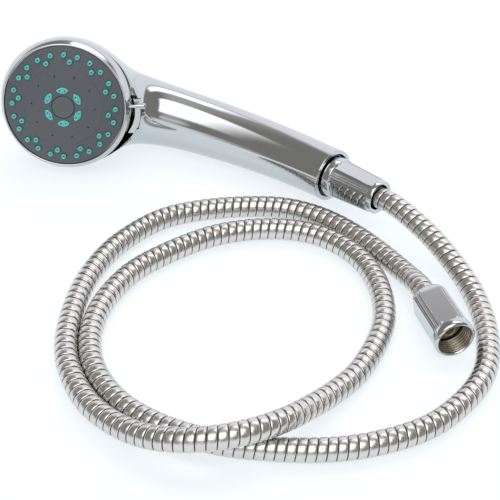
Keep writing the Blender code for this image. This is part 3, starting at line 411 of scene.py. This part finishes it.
def shell_stations(inset, across, handle_rows, reach):
    """Where the rows start: from the head's far edge, packed closer there, then along the arch."""
    radius = SHELL_RADIUS - inset
    share = np.linspace(0, 1, across + 1)[1:]
    spread = (1 - np.cos(share * math.pi * 0.62)) / (1 - math.cos(math.pi * 0.62))
    head_x = -radius + (radius + NECK_X) * spread
    deep = arch(np.maximum(head_x, 0) - NECK_X)[1]
    rise = np.sqrt(np.maximum(1 - (np.minimum(head_x, 0) / radius) ** 2, 0))
    head = np.stack((head_x, SEAM + (deep - SEAM) * rise, np.zeros(across)), 1)
    step = np.linspace(0, reach, handle_rows + 1)[1:]
    arm_x, arm_z = arch(step)
    return np.concatenate((head, np.stack((arm_x, arm_z, NECK_SLOPE + step / ARCH_RADIUS), 1)))


def station_at(step):
    """One station on the arch."""
    return np.array([(*arch(step), NECK_SLOPE + step / ARCH_RADIUS)])


AROUND_SHELL = 120
outer = shell_stations(0.0, 84, 90, HANDLE_LENGTH - 0.0008)
lip_steps = np.array((0.0004, 0.00012, 0.0, 0.0, 0.00012, 0.0004, 0.0012, 0.0050))
lip_insets = np.array((0.00002, 0.00014, 0.00040, END_WALL - 0.0004, END_WALL - 0.00014,
                       END_WALL - 0.00002, END_WALL, END_WALL))
lip = np.concatenate([station_at(HANDLE_LENGTH - step) for step in lip_steps])
inner = shell_stations(SHELL_WALL, 40, 40, HANDLE_LENGTH - 0.0052)[::-1]
stations = np.concatenate((outer, lip, inner))
insets = np.concatenate((np.zeros(len(outer)), lip_insets, np.full(len(inner), SHELL_WALL)))
rows = shell_rows(stations, insets, AROUND_SHELL)
far_outer = np.broadcast_to((-SHELL_RADIUS, 0, SEAM), (1, AROUND_SHELL, 3))
far_inner = np.broadcast_to((-SHELL_RADIUS + SHELL_WALL, 0, SEAM), (1, AROUND_SHELL, 3))
rows = np.concatenate((far_outer, rows, far_inner))


def grid_faces(count, around, wrap=True, start=0):
    """Quads between the rows of a grid, closed round its second way when it wraps."""
    index = start + np.arange(count * around).reshape(count, around)
    right = np.roll(index, -1, axis=1)
    here = index if wrap else index[:, :-1]
    right = right if wrap else right[:, :-1]
    return np.stack((here[:-1], right[:-1], right[1:], here[1:]), -1).reshape(-1, 4).tolist()


def corner_arrays(mesh):
    """Where the vertices are, and for each face corner its vertex and its face's own normal."""
    spot, flat = np.empty(len(mesh.vertices) * 3, np.float32), np.empty(len(mesh.polygons) * 3, np.float32)
    corner, sizes = np.empty(len(mesh.loops), np.int32), np.empty(len(mesh.polygons), np.int32)
    mesh.vertices.foreach_get("co", spot)
    mesh.loops.foreach_get("vertex_index", corner)
    mesh.polygons.foreach_get("loop_total", sizes)
    mesh.polygons.foreach_get("normal", flat)
    return spot.reshape(-1, 3).astype(float), corner, np.repeat(flat.reshape(-1, 3), sizes, axis=0)


def cut_at_seam(piece):
    """Cut the shell off at the seam plane, close its rim, and set normals from the form's own slope, so
    that reflections run smoothly over the small faces along the cut."""
    work = bmesh.new()
    work.from_mesh(piece.data)
    head = [vert for vert in work.verts if vert.co.x < NECK_X + 0.0065]
    chosen = set(head)
    edges = [edge for edge in work.edges if chosen.issuperset(edge.verts)]
    faces = [face for face in work.faces if chosen.issuperset(face.verts)]
    bmesh.ops.bisect_plane(work, geom=[*head, *edges, *faces], dist=0.00002,
                           plane_co=(0, 0, SEAM), plane_no=(0, 0, 1), clear_outer=True)
    rim = [edge for edge in work.edges if edge.is_boundary]
    bmesh.ops.triangle_fill(work, edges=rim, use_beauty=True, normal=(0, 0, 1))
    bmesh.ops.recalc_face_normals(work, faces=work.faces)
    work.to_mesh(piece.data)
    work.free()
    mesh = piece.data
    mesh.shade_smooth()
    spot, corner, flat = corner_arrays(mesh)
    steps = np.eye(3) * 0.00005
    slope = np.stack([shell_distance(spot + step) - shell_distance(spot - step) for step in steps], 1)
    slope /= np.linalg.norm(slope, axis=1, keepdims=True)
    smooth = slope[corner]
    agree = (smooth * flat).sum(1)
    smooth[agree < 0] *= -1
    smooth[np.abs(agree) < 0.93] = flat[np.abs(agree) < 0.93]
    mesh.normals_split_custom_set(smooth.tolist())


def settled(piece, axes, origin):
    """Turn and move a piece's mesh from its own frame, whose axes are the rows, into the row frame."""
    matrix = np.eye(4)
    matrix[:3, :3], matrix[:3, 3] = np.array(axes).T, origin
    piece.data.transform(Matrix(matrix.tolist()))
    return piece


def plated(name, colour, wave_height, low, high):
    """Chrome plating: a mirror metal whose blank leaves a slow wave, with faint water marks in its shine."""
    made, tree, shader, place = finish(name, colour, 1.0, (low + high) / 2)
    relief(tree, shader, place, 14.0, wave_height, 1.0)
    uneven(tree, shader, place, "Roughness", 5.0, low, high)
    return made


# Chrome plating on moulded ABS: a mirror with a slow wave where the plastic shrank.
plastic_chrome = plated("chrome_plated_abs", "#c4c8ca", 0.02, 0.03, 0.07)
shell = welded("handle_shell_chrome", rows, grid_faces(len(rows), AROUND_SHELL), sharp=180)
cut_at_seam(shell)
seated(settled(shell, HEAD_AXES, HEAD_POS), plastic_chrome, "handset", "chromed_plastic", "handle_shell")

# ---------------------------------------------------------------- selector ring
# A chromed ring that turns round the spray face to choose the spray.  It flares back from a thin lip, has
# four small grip notches at its far side and a pointed thumb lever next to the handle.

GAP, RUN, FACE_WALL = 0.0003, 0.0004, 0.0024
NOTCH_SPACING, NOTCH_DEPTH, TURNED_STEPS = 0.0026, 0.0007, 288
LEVER_ANGLE = math.radians(12.0)
RING_OUTER = FACE_RADIUS + RING_FLARE
DISC_BACK, WEB_FRONT, DISC_RADIUS, RING_INNER = -0.0108, -0.0092, 0.0349, 0.0396


def turned_rows(profile, steps):
    """A profile of radius and height turned round the z axis, as rows of points."""
    profile = np.asarray(profile)
    angle = math.tau * np.arange(steps) / steps
    return np.stack((profile[:, :1] * np.cos(angle), profile[:, :1] * np.sin(angle),
                     np.repeat(profile[:, 1:], steps, axis=1)), -1)


def closed_profile(profile):
    """The profile with its first point again at its end."""
    profile = np.asarray(profile)
    return np.concatenate((profile, profile[:1]))


lip_edge = FACE_RADIUS + GAP + 0.0013
back = np.linspace(0, 1, 22)
flare = np.stack((lip_edge + (RING_OUTER - lip_edge) * (1 - (1 - back) ** 1.9),
                  -0.0001 - (RING_DEPTH * 0.9 - 0.0001) * back), 1)
lip_turn = np.linspace(math.pi, 0.25 * math.pi, 8)
lip_middle = FACE_RADIUS + GAP + 0.00062
lip_round = np.stack((lip_middle + 0.00062 * np.cos(lip_turn),
                      0.0001 + 0.00055 * np.sin(lip_turn)), 1)
ring_profile = np.concatenate((
    lip_round, flare,
    ((RING_OUTER, -0.00765), (RING_OUTER - 0.0001, -0.0079), (RING_OUTER - 0.0004, -0.0080),
     (0.0413, -0.0080), (0.0413, DISC_BACK), (DISC_RADIUS + GAP, DISC_BACK), (DISC_RADIUS + GAP, WEB_FRONT),
     (RING_INNER, WEB_FRONT), (RING_INNER, -FACE_WALL - RUN), (FACE_RADIUS + GAP, -FACE_WALL - RUN))))
ring_rows = turned_rows(closed_profile(ring_profile), TURNED_STEPS)
angle = math.tau * np.arange(TURNED_STEPS) / TURNED_STEPS
notch_angles = LEVER_ANGLE + NOTCH_SPACING / RING_OUTER * np.array((-1.5, -0.5, 0.5, 1.5))
notch = sum(np.exp(-(((angle - place) % math.tau - math.pi) / 0.011) ** 2) for place in notch_angles)
from_axis = np.hypot(ring_rows[..., 0], ring_rows[..., 1])
low_on_ring = np.clip((-ring_rows[..., 2] - 0.0026) / 0.002, 0, 1) * (from_axis > 0.0425)
ring_rows[..., :2] *= (1 - NOTCH_DEPTH / RING_OUTER * notch[None, :] * low_on_ring)[..., None]
ring = welded("selector_ring_chrome", ring_rows, grid_faces(len(ring_rows), TURNED_STEPS), sharp=35)
seated(settled(ring, HEAD_AXES, HEAD_POS), plastic_chrome, "selector", "chromed_plastic", "selector_ring")


def lever_rows(along_count, around):
    """The lever's sections from root to tip: a roof whose ridge sinks towards the tip, with rounded sides."""
    u = np.linspace(0, 1, along_count)[:, None]
    v = math.tau * np.arange(around)[None, :] / around
    end = np.sqrt(np.clip(1 - np.maximum(u - 0.86, 0) ** 2 / 0.14 ** 2, 0, 1))
    start = 0.25 + 0.75 * np.clip(u / 0.55, 0, 1) ** 0.8
    half = 0.0020 * start * end
    high = (-0.0018 - 0.0014 * u) * np.ones_like(v)
    low = -0.0072 + 0.0006 * u
    side = np.sign(np.cos(v)) * np.abs(np.cos(v)) ** 0.75
    rise = np.where(np.sin(v) > 0, np.abs(np.sin(v)) ** 1.25, -np.abs(np.sin(v)) ** 0.6)
    middle, tall = (high + low) / 2, (high - low) / 2
    x = (RING_OUTER - 0.0020 + (0.0120 - 0.0001) * u) * np.ones_like(v)
    return np.stack((x, half * side, middle + tall * rise * (0.35 + 0.65 * end)), -1)


rows = lever_rows(36, 32)
rows = np.concatenate((rows[:1] * 0 + rows[:1].mean(1, keepdims=True), rows, rows[-1:] * 0
                       + rows[-1:].mean(1, keepdims=True)))
lever_cos, lever_sin = math.cos(LEVER_ANGLE), math.sin(LEVER_ANGLE)
turn = np.array(((lever_cos, lever_sin, 0), (-lever_sin, lever_cos, 0), (0, 0, 1)))
lever = welded("thumb_lever", rows @ turn, grid_faces(len(rows), 32), sharp=50)
seated(settled(lever, HEAD_AXES, HEAD_POS), plastic_chrome, "selector", "chromed_plastic")

# ---------------------------------------------------------------- spray face
# Domed plate of dark grey ABS with a fine satin grain.  Round holes let the rubber nozzles through, small
# dimpled holes make the fine spray, and pointed ovals round the middle button hold the massage inserts.

FACE_CROWN = 0.0045
NOZZLE_TURN = math.radians(2.4)
NOZZLE_RADIUS, OUTER_CIRCLE, INNER_CIRCLE = 0.0018, 0.0345, 0.0303
JET_CIRCLE, INSERT_CIRCLE, CAP_RADIUS, STEP_CIRCLE = 0.0212, 0.0111, 0.0074, 0.0264
INSERT_LENGTH, INSERT_WIDTH = 0.0086, 0.0044
CAP_POCKET = CAP_RADIUS + GAP


def dome_height(radius):
    """Height of the domed face above its rim: the crown less a square of the radius."""
    return FACE_CROWN * (1 - (radius / FACE_RADIUS) ** 2)


def on_circle(circle, angles):
    """Places on a circle round the head's axis: radius times cosine and sine."""
    return np.stack((circle * np.cos(angles), circle * np.sin(angles)), 1)


def even_angles(count, turn):
    """Even angles round a circle, from the first one."""
    return turn + math.tau * np.arange(count) / count


nozzle_places = np.concatenate((on_circle(OUTER_CIRCLE, even_angles(24, NOZZLE_TURN + math.radians(7.5))),
                                on_circle(INNER_CIRCLE, even_angles(12, NOZZLE_TURN))))
jet_places = on_circle(JET_CIRCLE, even_angles(10, NOZZLE_TURN + math.radians(5.6)))
insert_angles = even_angles(6, NOZZLE_TURN + math.radians(9.6 + 30))


def almond_outline(length, width, count):
    """A pointed oval, two arcs that meet at its ends, blunted a little there."""
    bulge = (length ** 2 - width ** 2) / 4 / width
    half = math.asin(length / 2 / (bulge + width / 2))
    a = np.linspace(-half, half, count // 2 + 1)
    side = np.stack(((bulge + width / 2) * np.cos(a) - bulge, (bulge + width / 2) * np.sin(a)), 1)
    line = np.concatenate((side[:-1], -side[:-1]))
    blunt = (np.roll(line, 1, axis=0) + np.roll(line, -1, axis=0) + 2 * line) / 4
    return blunt


def repeated(rows, spots, turns=None):
    """Copies of one closed grid at several places, each turned by its own angle: points and faces."""
    count, around = rows.shape[:2]
    turns = np.zeros(len(spots)) if turns is None else turns
    cosine, sine = np.cos(turns)[:, None, None], np.sin(turns)[:, None, None]
    x = rows[None, ..., 0] * cosine - rows[None, ..., 1] * sine + spots[:, 0, None, None]
    y = rows[None, ..., 0] * sine + rows[None, ..., 1] * cosine + spots[:, 1, None, None]
    z = np.broadcast_to(rows[None, ..., 2], x.shape) + (spots[:, 2, None, None] if spots.shape[1] > 2 else 0)
    points = np.stack((x, y, z), -1).reshape(-1, 3)
    one = np.array(grid_faces(count, around))
    faces = (one[None] + (np.arange(len(spots)) * count * around)[:, None, None]).reshape(-1, 4)
    return points, faces.tolist()


cutters = bpy.data.collections.new("cutters")
bpy.context.scene.collection.children.link(cutters)


def cut(piece, points, faces):
    """Cut the piece by the closed shape, and keep only the result."""
    cutter = welded("cutter", points, faces, collection=cutters)
    step = piece.modifiers.new("cut", "BOOLEAN")
    step.operation, step.object, step.solver = "DIFFERENCE", cutter, "EXACT"
    bpy.context.view_layer.update()
    made = bpy.data.meshes.new_from_object(piece.evaluated_get(bpy.context.evaluated_depsgraph_get()))
    old = piece.data
    piece.modifiers.clear()
    piece.data = made
    made.name = piece.name
    bpy.data.meshes.remove(old)
    bpy.data.objects.remove(cutter)


def dome_normals(piece, least=0.9):
    """Where a face lies along the dome, its corners take the dome's own normal; elsewhere, their own."""
    mesh = piece.data
    mesh.shade_smooth()
    mesh.set_sharp_from_angle(angle=math.radians(30))
    spot, corner, flat = corner_arrays(mesh)
    own = np.array([tuple(entry.vector) for entry in mesh.corner_normals])
    ideal = np.concatenate((spot[:, :2] * 2 * FACE_CROWN / FACE_RADIUS ** 2, np.ones((len(spot), 1))), 1)
    ideal = (ideal / np.linalg.norm(ideal, axis=1, keepdims=True))[corner]
    along_dome = (ideal * flat).sum(1) > least
    own[along_dome] = ideal[along_dome]
    mesh.normals_split_custom_set(own.tolist())


pocket_floor = dome_height(CAP_RADIUS) - 0.0008 - 0.0014 - 2 * GAP
front_radii = np.concatenate((np.linspace(CAP_POCKET + 0.0002, STEP_CIRCLE - 0.0004, 14),
                              STEP_CIRCLE + np.array((-0.0002, 0.0, 0.0002)),
                              np.linspace(STEP_CIRCLE + 0.0004, FACE_RADIUS - 0.0004, 12)))
front_drop = np.zeros(len(front_radii))
front_drop[14:17] = (0.00002, 0.00016, 0.00002)
front = np.stack((front_radii, dome_height(front_radii) - front_drop), 1)
HUB_RADIUS, SCREW_HOLE = INSERT_CIRCLE - INSERT_WIDTH / 2 - 2 * GAP, 0.0023
rear_radii = np.linspace(FACE_RADIUS, HUB_RADIUS, 8)
plate_profile = np.concatenate((
    ((SCREW_HOLE, pocket_floor), (CAP_POCKET, pocket_floor), (CAP_POCKET, dome_height(CAP_POCKET) - 0.0002)),
    front, ((FACE_RADIUS - 0.0001, dome_height(FACE_RADIUS) - 0.0001),),
    np.stack((rear_radii, dome_height(rear_radii) - FACE_WALL), 1),
    ((HUB_RADIUS, -FACE_WALL), (SCREW_HOLE, -FACE_WALL))))
plate_rows = turned_rows(closed_profile(plate_profile), 160)
face_plate = welded("spray_face_plate", plate_rows, grid_faces(len(plate_rows), 160), sharp=30)
above, below = FACE_CROWN + 0.002, -0.0045
hole = NOZZLE_RADIUS + GAP
pin = turned_rows(((0, above), (hole, above), (hole, below), (0, below)), 24)
cut(face_plate, *repeated(pin, nozzle_places))
jet_top, JET_BORE = dome_height(JET_CIRCLE), 0.00045
jet_pin = turned_rows(((0, above), (0.0026, above), (0.0011, jet_top - 0.00006), (0.00078, jet_top - 0.00022),
                       (JET_BORE, jet_top - 0.0004), (JET_BORE, below), (0, below)), 20)
cut(face_plate, *repeated(jet_pin, jet_places))
outline = almond_outline(INSERT_LENGTH + 2.5 * GAP, INSERT_WIDTH + 2 * GAP, 28)


def prism_rows(outline, heights, scales):
    """A closed outline at several heights and scales, shut to a point at both ends."""
    rows = [np.concatenate((outline * scale, np.full((len(outline), 1), height)), 1)
            for height, scale in zip(heights, scales)]
    return np.stack(rows)


almond_pin = prism_rows(outline, (above, above, below, below), (0, 1, 1, 0))
insert_spots = on_circle(INSERT_CIRCLE, insert_angles)
cut(face_plate, *repeated(almond_pin, insert_spots, insert_angles))
dome_normals(face_plate)

# Dark grey ABS from a spark-eroded mould: a fine even grain, a satin shine.
satin_abs, tree, shader, place = finish("satin_dark_grey_abs", "#575b61", 0.0, 0.45)
relief(tree, shader, place, 0.45, 0.010)
uneven(tree, shader, place, "Roughness", 9.0, 0.40, 0.52)
seated(settled(face_plate, HEAD_AXES, HEAD_POS), satin_abs, "handset", "grey_abs", "face_plate")

# ---------------------------------------------------------------- middle button
# A plain pressed-in cap of the same grey ABS that hides the head's screw; a dark gap runs round it.

cap_radii = np.linspace(0, CAP_RADIUS - 0.0004, 10)
cap_edge = dome_height(CAP_RADIUS)
cap_profile = np.concatenate((
    np.stack((cap_radii, dome_height(cap_radii)), 1),
    ((CAP_RADIUS - 0.00015, cap_edge - 0.00006), (CAP_RADIUS - 0.00003, cap_edge - 0.00025),
     (CAP_RADIUS, cap_edge - 0.0005), (CAP_RADIUS, cap_edge - 0.0008), (0, cap_edge - 0.0008))))
cap_rows = turned_rows(cap_profile, 96)
button = welded("middle_button", cap_rows, grid_faces(len(cap_rows), 96), sharp=50)
button_abs, tree, shader, place = finish("satin_grey_abs_button", "#5b6066", 0.0, 0.42)
relief(tree, shader, place, 0.45, 0.008)
uneven(tree, shader, place, "Roughness", 6.0, 0.38, 0.48)
seated(settled(button, HEAD_AXES, HEAD_POS), button_abs, "handset", "grey_abs", "centre_cap")

# ---------------------------------------------------------------- rubber nozzles
# One sheet of teal silicone lies behind the face, and its soft nozzles stand out through the holes so
# that lime can be rubbed off; each has a shallow rim and a fine bore.

MAT_THICKNESS = 0.0014


def sheet_rows(inner, outer, steps):
    """The silicone sheet: a thin ring on the dome, just behind the face."""
    radii = np.linspace(inner, outer, 6)
    top = dome_height(radii) - FACE_WALL - GAP
    profile = np.concatenate((np.stack((radii, top), 1), np.stack((radii, top - MAT_THICKNESS), 1)[::-1]))
    return turned_rows(closed_profile(profile), steps)


nozzle_profile = np.array((
    (0, -0.0030), (NOZZLE_RADIUS, -0.0030), (NOZZLE_RADIUS, 0.0002), (0.00176, 0.0009),
    (0.00168, 0.00128), (0.00150, 0.00150), (0.00128, 0.00160), (0.00105, 0.00158), (0.00085, 0.00146),
    (0.00062, 0.00138), (0.00052, 0.00125),
    (0.00046, 0.0008), (0.00046, -0.0004), (0, -0.0004)))
spots = np.column_stack((nozzle_places, dome_height(np.hypot(*nozzle_places.T))))
points, faces = repeated(turned_rows(nozzle_profile, 22), spots)
sheet = sheet_rows(0.0276, 0.0375, 72)
faces += (np.array(grid_faces(len(sheet), 72)) + len(points)).tolist()
nozzles = welded("rubber_nozzles", np.concatenate((points, sheet.reshape(-1, 3))), faces, sharp=48)

# Teal silicone rubber: soft matt skin from the mould, faint dust in it.
teal_silicone, tree, shader, place = finish("moulded_teal_silicone", "#5fbfb8", 0.0, 0.42)
shader.inputs["Subsurface Weight"].default_value = 0.12
shader.inputs["Subsurface Radius"].default_value = (0.0006, 0.0012, 0.0012)
shader.inputs["Subsurface Scale"].default_value = 1.0
relief(tree, shader, place, 0.7, 0.008)
uneven(tree, shader, place, "Roughness", 3.0, 0.36, 0.50)
seated(settled(nozzles, HEAD_AXES, HEAD_POS), teal_silicone, "handset", "teal_silicone", "nozzle_mat")

# ---------------------------------------------------------------- massage inserts
# Six pointed ovals of the same silicone on one ring behind the face, crowned, with two bores in each.


def insert_rows(count):
    """A crowned pointed oval: its outline shrinks to the middle while the top rises by a quarter circle."""
    outline = almond_outline(INSERT_LENGTH, INSERT_WIDTH, count)
    share = np.linspace(0, 1, 9)[1:]
    top = dome_height(INSERT_CIRCLE) + 0.0001 + 0.00055 * np.sqrt(1 - 0.96 * share ** 3)
    heights = np.concatenate(((top[0],), top, (top[-1] - 0.003, top[-1] - 0.003)))
    return prism_rows(outline, heights, np.concatenate(((0,), share, (1, 0))))


points, faces = repeated(insert_rows(36), insert_spots, insert_angles)
sheet = sheet_rows(HUB_RADIUS + GAP, INSERT_CIRCLE + INSERT_WIDTH / 2 + 0.0011, 60)
faces += (np.array(grid_faces(len(sheet), 60)) + len(points)).tolist()
inserts = welded("massage_inserts", np.concatenate((points, sheet.reshape(-1, 3))), faces, sharp=40)
swing = INSERT_LENGTH * 0.19 / INSERT_CIRCLE
bore_angles = np.concatenate((insert_angles - swing, insert_angles + swing))
bore_spots = on_circle(INSERT_CIRCLE, bore_angles)
bore_floor = dome_height(INSERT_CIRCLE) - 0.0012
bore = turned_rows(((0, above), (0.00050, above), (0.00050, bore_floor), (0, bore_floor)), 14)
cut(inserts, *repeated(bore, bore_spots))
inserts.data.shade_smooth()
inserts.data.set_sharp_from_angle(angle=math.radians(40))
seated(settled(inserts, HEAD_AXES, HEAD_POS), teal_silicone, "handset", "teal_silicone", "massage_mat")

# ---------------------------------------------------------------- cone nut
# Chromed brass nut that holds the hose on the handle's spigot and sits in the wall holder: a smooth
# collar, then a taper with four flats, fluted between them for grip, and a rounded mouth round the hose.

NUT_BORE, NUT_WAIST = 0.0106, 0.0080


def frame_along(out):
    """Axes of a turned piece: x level, y up, z along the piece."""
    level = np.cross((0, 0, 1), out)
    level /= np.linalg.norm(level)
    return np.array((level, np.cross(out, level), out))


def nut_rows(profile, flats, half_flat, flutes, flute_depth, steps, turn=0.0):
    """Rows of a nut: each profile point is height, radius and grip share.  Where the share is one, the
    section has flats, each a chord over its half angle, and a row of round flutes between two flats."""
    profile = np.asarray(profile)
    angle = math.tau * np.arange(steps) / steps
    sector = math.tau / flats
    off = (angle - turn - math.pi / 2 + sector / 2) % sector - sector / 2
    chord = math.cos(half_flat) / np.cos(np.clip(off, -half_flat, half_flat))
    span = sector - 2 * half_flat
    within = (np.abs(off) - half_flat) / span * 2
    groove = np.where(within > 0, np.abs(np.sin(math.pi * flutes * (within / 2 + 0.5) )), 0) ** 1.3
    height, radius, share = profile[:, 0:1], profile[:, 1:2], profile[:, 2:3]
    reach = radius * (1 - share * (1 - chord)) - share * flute_depth * groove
    return np.stack((reach * np.cos(angle), reach * np.sin(angle), np.repeat(height, steps, axis=1)), -1)


cone_start, cone_length = 0.0006, 0.0392
collar, collar_length, cone_mouth = 0.0134, 0.0055, 0.0112
cone_shoulder = 0.0136 + 0.0004
taper = np.linspace(0, 1, 14)
collar_end = cone_start + collar_length
cone_profile = [(cone_start, NUT_BORE, 0), (cone_start, collar - 0.0008, 0),
                (cone_start + 0.0002, collar - 0.0003, 0), (cone_start + 0.0006, collar, 0),
                (collar_end - 0.0004, collar, 0), (collar_end, collar - 0.0002, 0),
                (collar_end + 0.0003, collar - 0.0006, 0.3), (collar_end + 0.0006, collar - 0.0007, 1)]
cone_profile += [(collar_end + 0.0008 + share * (cone_length - collar_length - 0.0048),
                  collar - 0.0007 - share * (collar - 0.0007 - cone_mouth - 0.0002), 1) for share in taper]
cone_far = cone_start + cone_length
cone_profile += [(cone_far - 0.0034, cone_mouth + 0.0001, 0.5), (cone_far - 0.0030, cone_mouth, 0),
                 (cone_far - 0.0010, cone_mouth - 0.0001, 0), (cone_far - 0.0003, cone_mouth - 0.0004, 0),
                 (cone_far, cone_mouth - 0.0010, 0), (cone_far - 0.0002, cone_mouth - 0.0016, 0),
                 (cone_far - 0.0010, NUT_WAIST + 0.0005, 0), (cone_far - 0.0030, NUT_WAIST + 0.0004, 0),
                 (cone_shoulder, NUT_WAIST, 0), (cone_shoulder, NUT_BORE, 0), (cone_start, NUT_BORE, 0)]
rows = nut_rows(cone_profile, 4, math.radians(25), 6, 0.0005, TURNED_STEPS)
cone_nut = welded("hose_cone_nut", rows, grid_faces(len(rows), TURNED_STEPS), sharp=32)
brass_chrome = plated("chrome_plated_brass", "#c6c9ca", 0.008, 0.04, 0.09)
settled(cone_nut, frame_along(END_OUT), END_POS)
seated(cone_nut, brass_chrome, "cone_nut", "chromed_brass", "cone_nut")

# ---------------------------------------------------------------- supply nut
# The chromed brass nut at the hose's free end: a round band at its mouth, four broad flats with fluted
# grips between them, and inside it the half-inch thread with a seal and the hose's tail at the bottom.

SUPPLY_MOUTH, SUPPLY_BODY, THREAD_DEPTH = 0.0125, 0.01235, 0.0130
THREAD_PITCH, THREAD_CREST, THREAD_ROOT = 0.0018, 0.0096, 0.01035
body_share = np.linspace(0, 1, 16)
rear, mouth = -SUPPLY_LENGTH, SUPPLY_MOUTH
supply_profile = [(rear, NUT_WAIST, 0), (rear, 0.0092, 0), (rear + 0.0006, 0.0101, 0.3),
                  (rear + 0.0018, 0.0112, 0.8), (rear + 0.0032, 0.0119, 1)]
supply_profile += [(rear + 0.0042 + share * (SUPPLY_LENGTH - 0.0106), SUPPLY_BODY - 0.0003 * (1 - share), 1)
                   for share in body_share]
supply_profile += [(-0.0060, SUPPLY_BODY - 0.0001, 0.6), (-0.0056, mouth - 0.0003, 0), (-0.0053, mouth, 0),
                   (-0.0040, mouth + 0.0001, 0), (-0.0014, mouth + 0.0001, 0), (-0.0008, mouth - 0.0002, 0),
                   (-0.0002, mouth - 0.0007, 0), (0.0, mouth - 0.0012, 0), (-0.0002, mouth - 0.0017, 0),
                   (-0.0008, THREAD_ROOT + 0.0002, 0)]
outside = nut_rows(supply_profile, 4, math.radians(31), 4, 0.0005, TURNED_STEPS, math.radians(8))
depth = np.linspace(0.0010, THREAD_DEPTH - 0.0008, 66)[:, None]
angle = math.tau * np.arange(TURNED_STEPS)[None, :] / TURNED_STEPS
wave = 0.5 + 0.5 * np.cos(math.tau * (depth / THREAD_PITCH + np.arange(TURNED_STEPS)[None, :] / TURNED_STEPS))
lead_in = np.clip((depth - 0.0010) / 0.0016, 0, 1) * np.clip((THREAD_DEPTH - 0.0008 - depth) / 0.0010, 0, 1)
reach = THREAD_ROOT - (THREAD_ROOT - THREAD_CREST) * wave ** 0.8 * lead_in
thread = np.stack((reach * np.cos(angle), reach * np.sin(angle), -depth * np.ones_like(angle)), -1)
inside_profile = [(-THREAD_DEPTH, THREAD_ROOT, 0), (-0.0180, THREAD_ROOT, 0), (-0.0180, NUT_WAIST, 0),
                  (-SUPPLY_LENGTH, NUT_WAIST, 0)]
rows = np.concatenate((outside, thread, nut_rows(inside_profile, 4, 0.5, 4, 0, TURNED_STEPS)))
supply_nut = welded("supply_nut_chrome", rows, grid_faces(len(rows), TURNED_STEPS), sharp=32)
for face in supply_nut.data.polygons:
    if face.center.z > -0.0180 and math.hypot(face.center.x, face.center.y) < THREAD_ROOT + 0.0001:
        face.material_index = 1
SUPPLY_AXES = frame_along(SUPPLY_OUT)
settled(supply_nut, SUPPLY_AXES, SUPPLY_POS)
seated(supply_nut, brass_chrome, "supply_nut", "chromed_brass", "supply_nut")
bare_brass, tree, shader, place = finish("bare_cut_brass", "#96907f", 1.0, 0.34)
uneven(tree, shader, place, "Roughness", 1.5, 0.30, 0.48)
supply_nut.data.materials.append(bare_brass)

# ---------------------------------------------------------------- seal and tail in the supply nut
# A beige fibre-rubber seal lies on the flange of the turned brass tail; water comes through its bore.

seal_profile = ((0.0050, -0.0131), (0.0052, -0.0130), (0.0094, -0.0130), (0.0097, -0.0132), (0.0097, -0.0149),
                (0.0095, -0.0150), (0.0052, -0.0150), (0.0050, -0.0149))
rows = turned_rows(closed_profile(seal_profile), 72)
seal = welded("supply_seal", rows, grid_faces(len(rows), 72), sharp=40)
fibre, tree, shader, place = finish("beige_fibre_rubber", "#a8977a", 0.0, 0.75)
relief(tree, shader, place, 0.5, 0.03, 3.0)
grain = add_node(tree, "ShaderNodeTexNoise", {"Vector": place, "Scale": 1000 / 0.9, "Detail": 3.0})
shades = add_node(tree, "ShaderNodeValToRGB", {"Fac": grain.outputs["Fac"]})
shades.color_ramp.elements[0].color = linear("#8f7f64")
shades.color_ramp.elements[1].color = linear("#b5a486")
tree.links.new(shades.outputs["Color"], shader.inputs["Base Color"])
seated(settled(seal, SUPPLY_AXES, SUPPLY_POS), fibre, "handset", "beige_rubber", "supply_washer")

tail_profile = ((0.0030, -0.0090), (0.0034, -0.0086), (0.0040, -0.0088), (0.0047, -0.0132), (0.0047, -0.0153),
                (0.0097, -0.0153), (0.0097, -0.0173),
                (0.0044, -0.0173), (0.0044, -0.0293), (0.0030, -0.0293))
rows = turned_rows(closed_profile(tail_profile), 72)
tail = welded("supply_tail", rows, grid_faces(len(rows), 72), sharp=40)
turned_brass, tree, shader, place = finish("turned_brass", "#bcac90", 0.30, 0.50)
uneven(tree, shader, place, "Roughness", 0.8, 0.38, 0.55)
relief(tree, shader, place, 0.5, 0.004)
seated(settled(tail, SUPPLY_AXES, SUPPLY_POS), turned_brass, "handset", "brass", "supply_hose_tail")

# ---------------------------------------------------------------- parts inside
# The moulded water parts, seals, screw and spring keep the shapes they have; each gets its own finish.


def dressed(material, *names):
    """Give kept CAD pieces a finish."""
    for name in names:
        nodes[name].data.materials.clear()
        nodes[name].data.materials.append(material)


white_pom, tree, shader, place = finish("moulded_white_pom", "#e6e5df", 0.0, 0.38)
relief(tree, shader, place, 1.5, 0.01)
uneven(tree, shader, place, "Roughness", 4.0, 0.32, 0.46)
dressed(white_pom, "chamber_plate", "valve_disc", "head_manifold", "water_tube", "flow_restrictor")

black_rubber, tree, shader, place = finish("moulded_black_rubber", "#1d1d1e", 0.0, 0.7)
relief(tree, shader, place, 0.6, 0.02)
uneven(tree, shader, place, "Roughness", 2.0, 0.6, 0.8)
dressed(black_rubber, "diverter_gasket", "inlet_o_ring", "cone_washer")

drawn_steel, tree, shader, place = finish("drawn_stainless_steel", "#c2c1be", 1.0, 0.28)
uneven(tree, shader, place, "Roughness", 1.0, 0.2, 0.38)
relief(tree, shader, place, 0.5, 0.004)
dressed(drawn_steel, "centre_screw", "detent_ball", "detent_spring", "filter_screen",
        "cone_ferrule", "supply_ferrule")

dressed(turned_brass, "cone_hose_tail")
dressed(brass_chrome, "inlet_spigot")

# ---------------------------------------------------------------- cutters removed

bpy.data.collections.remove(cutters)
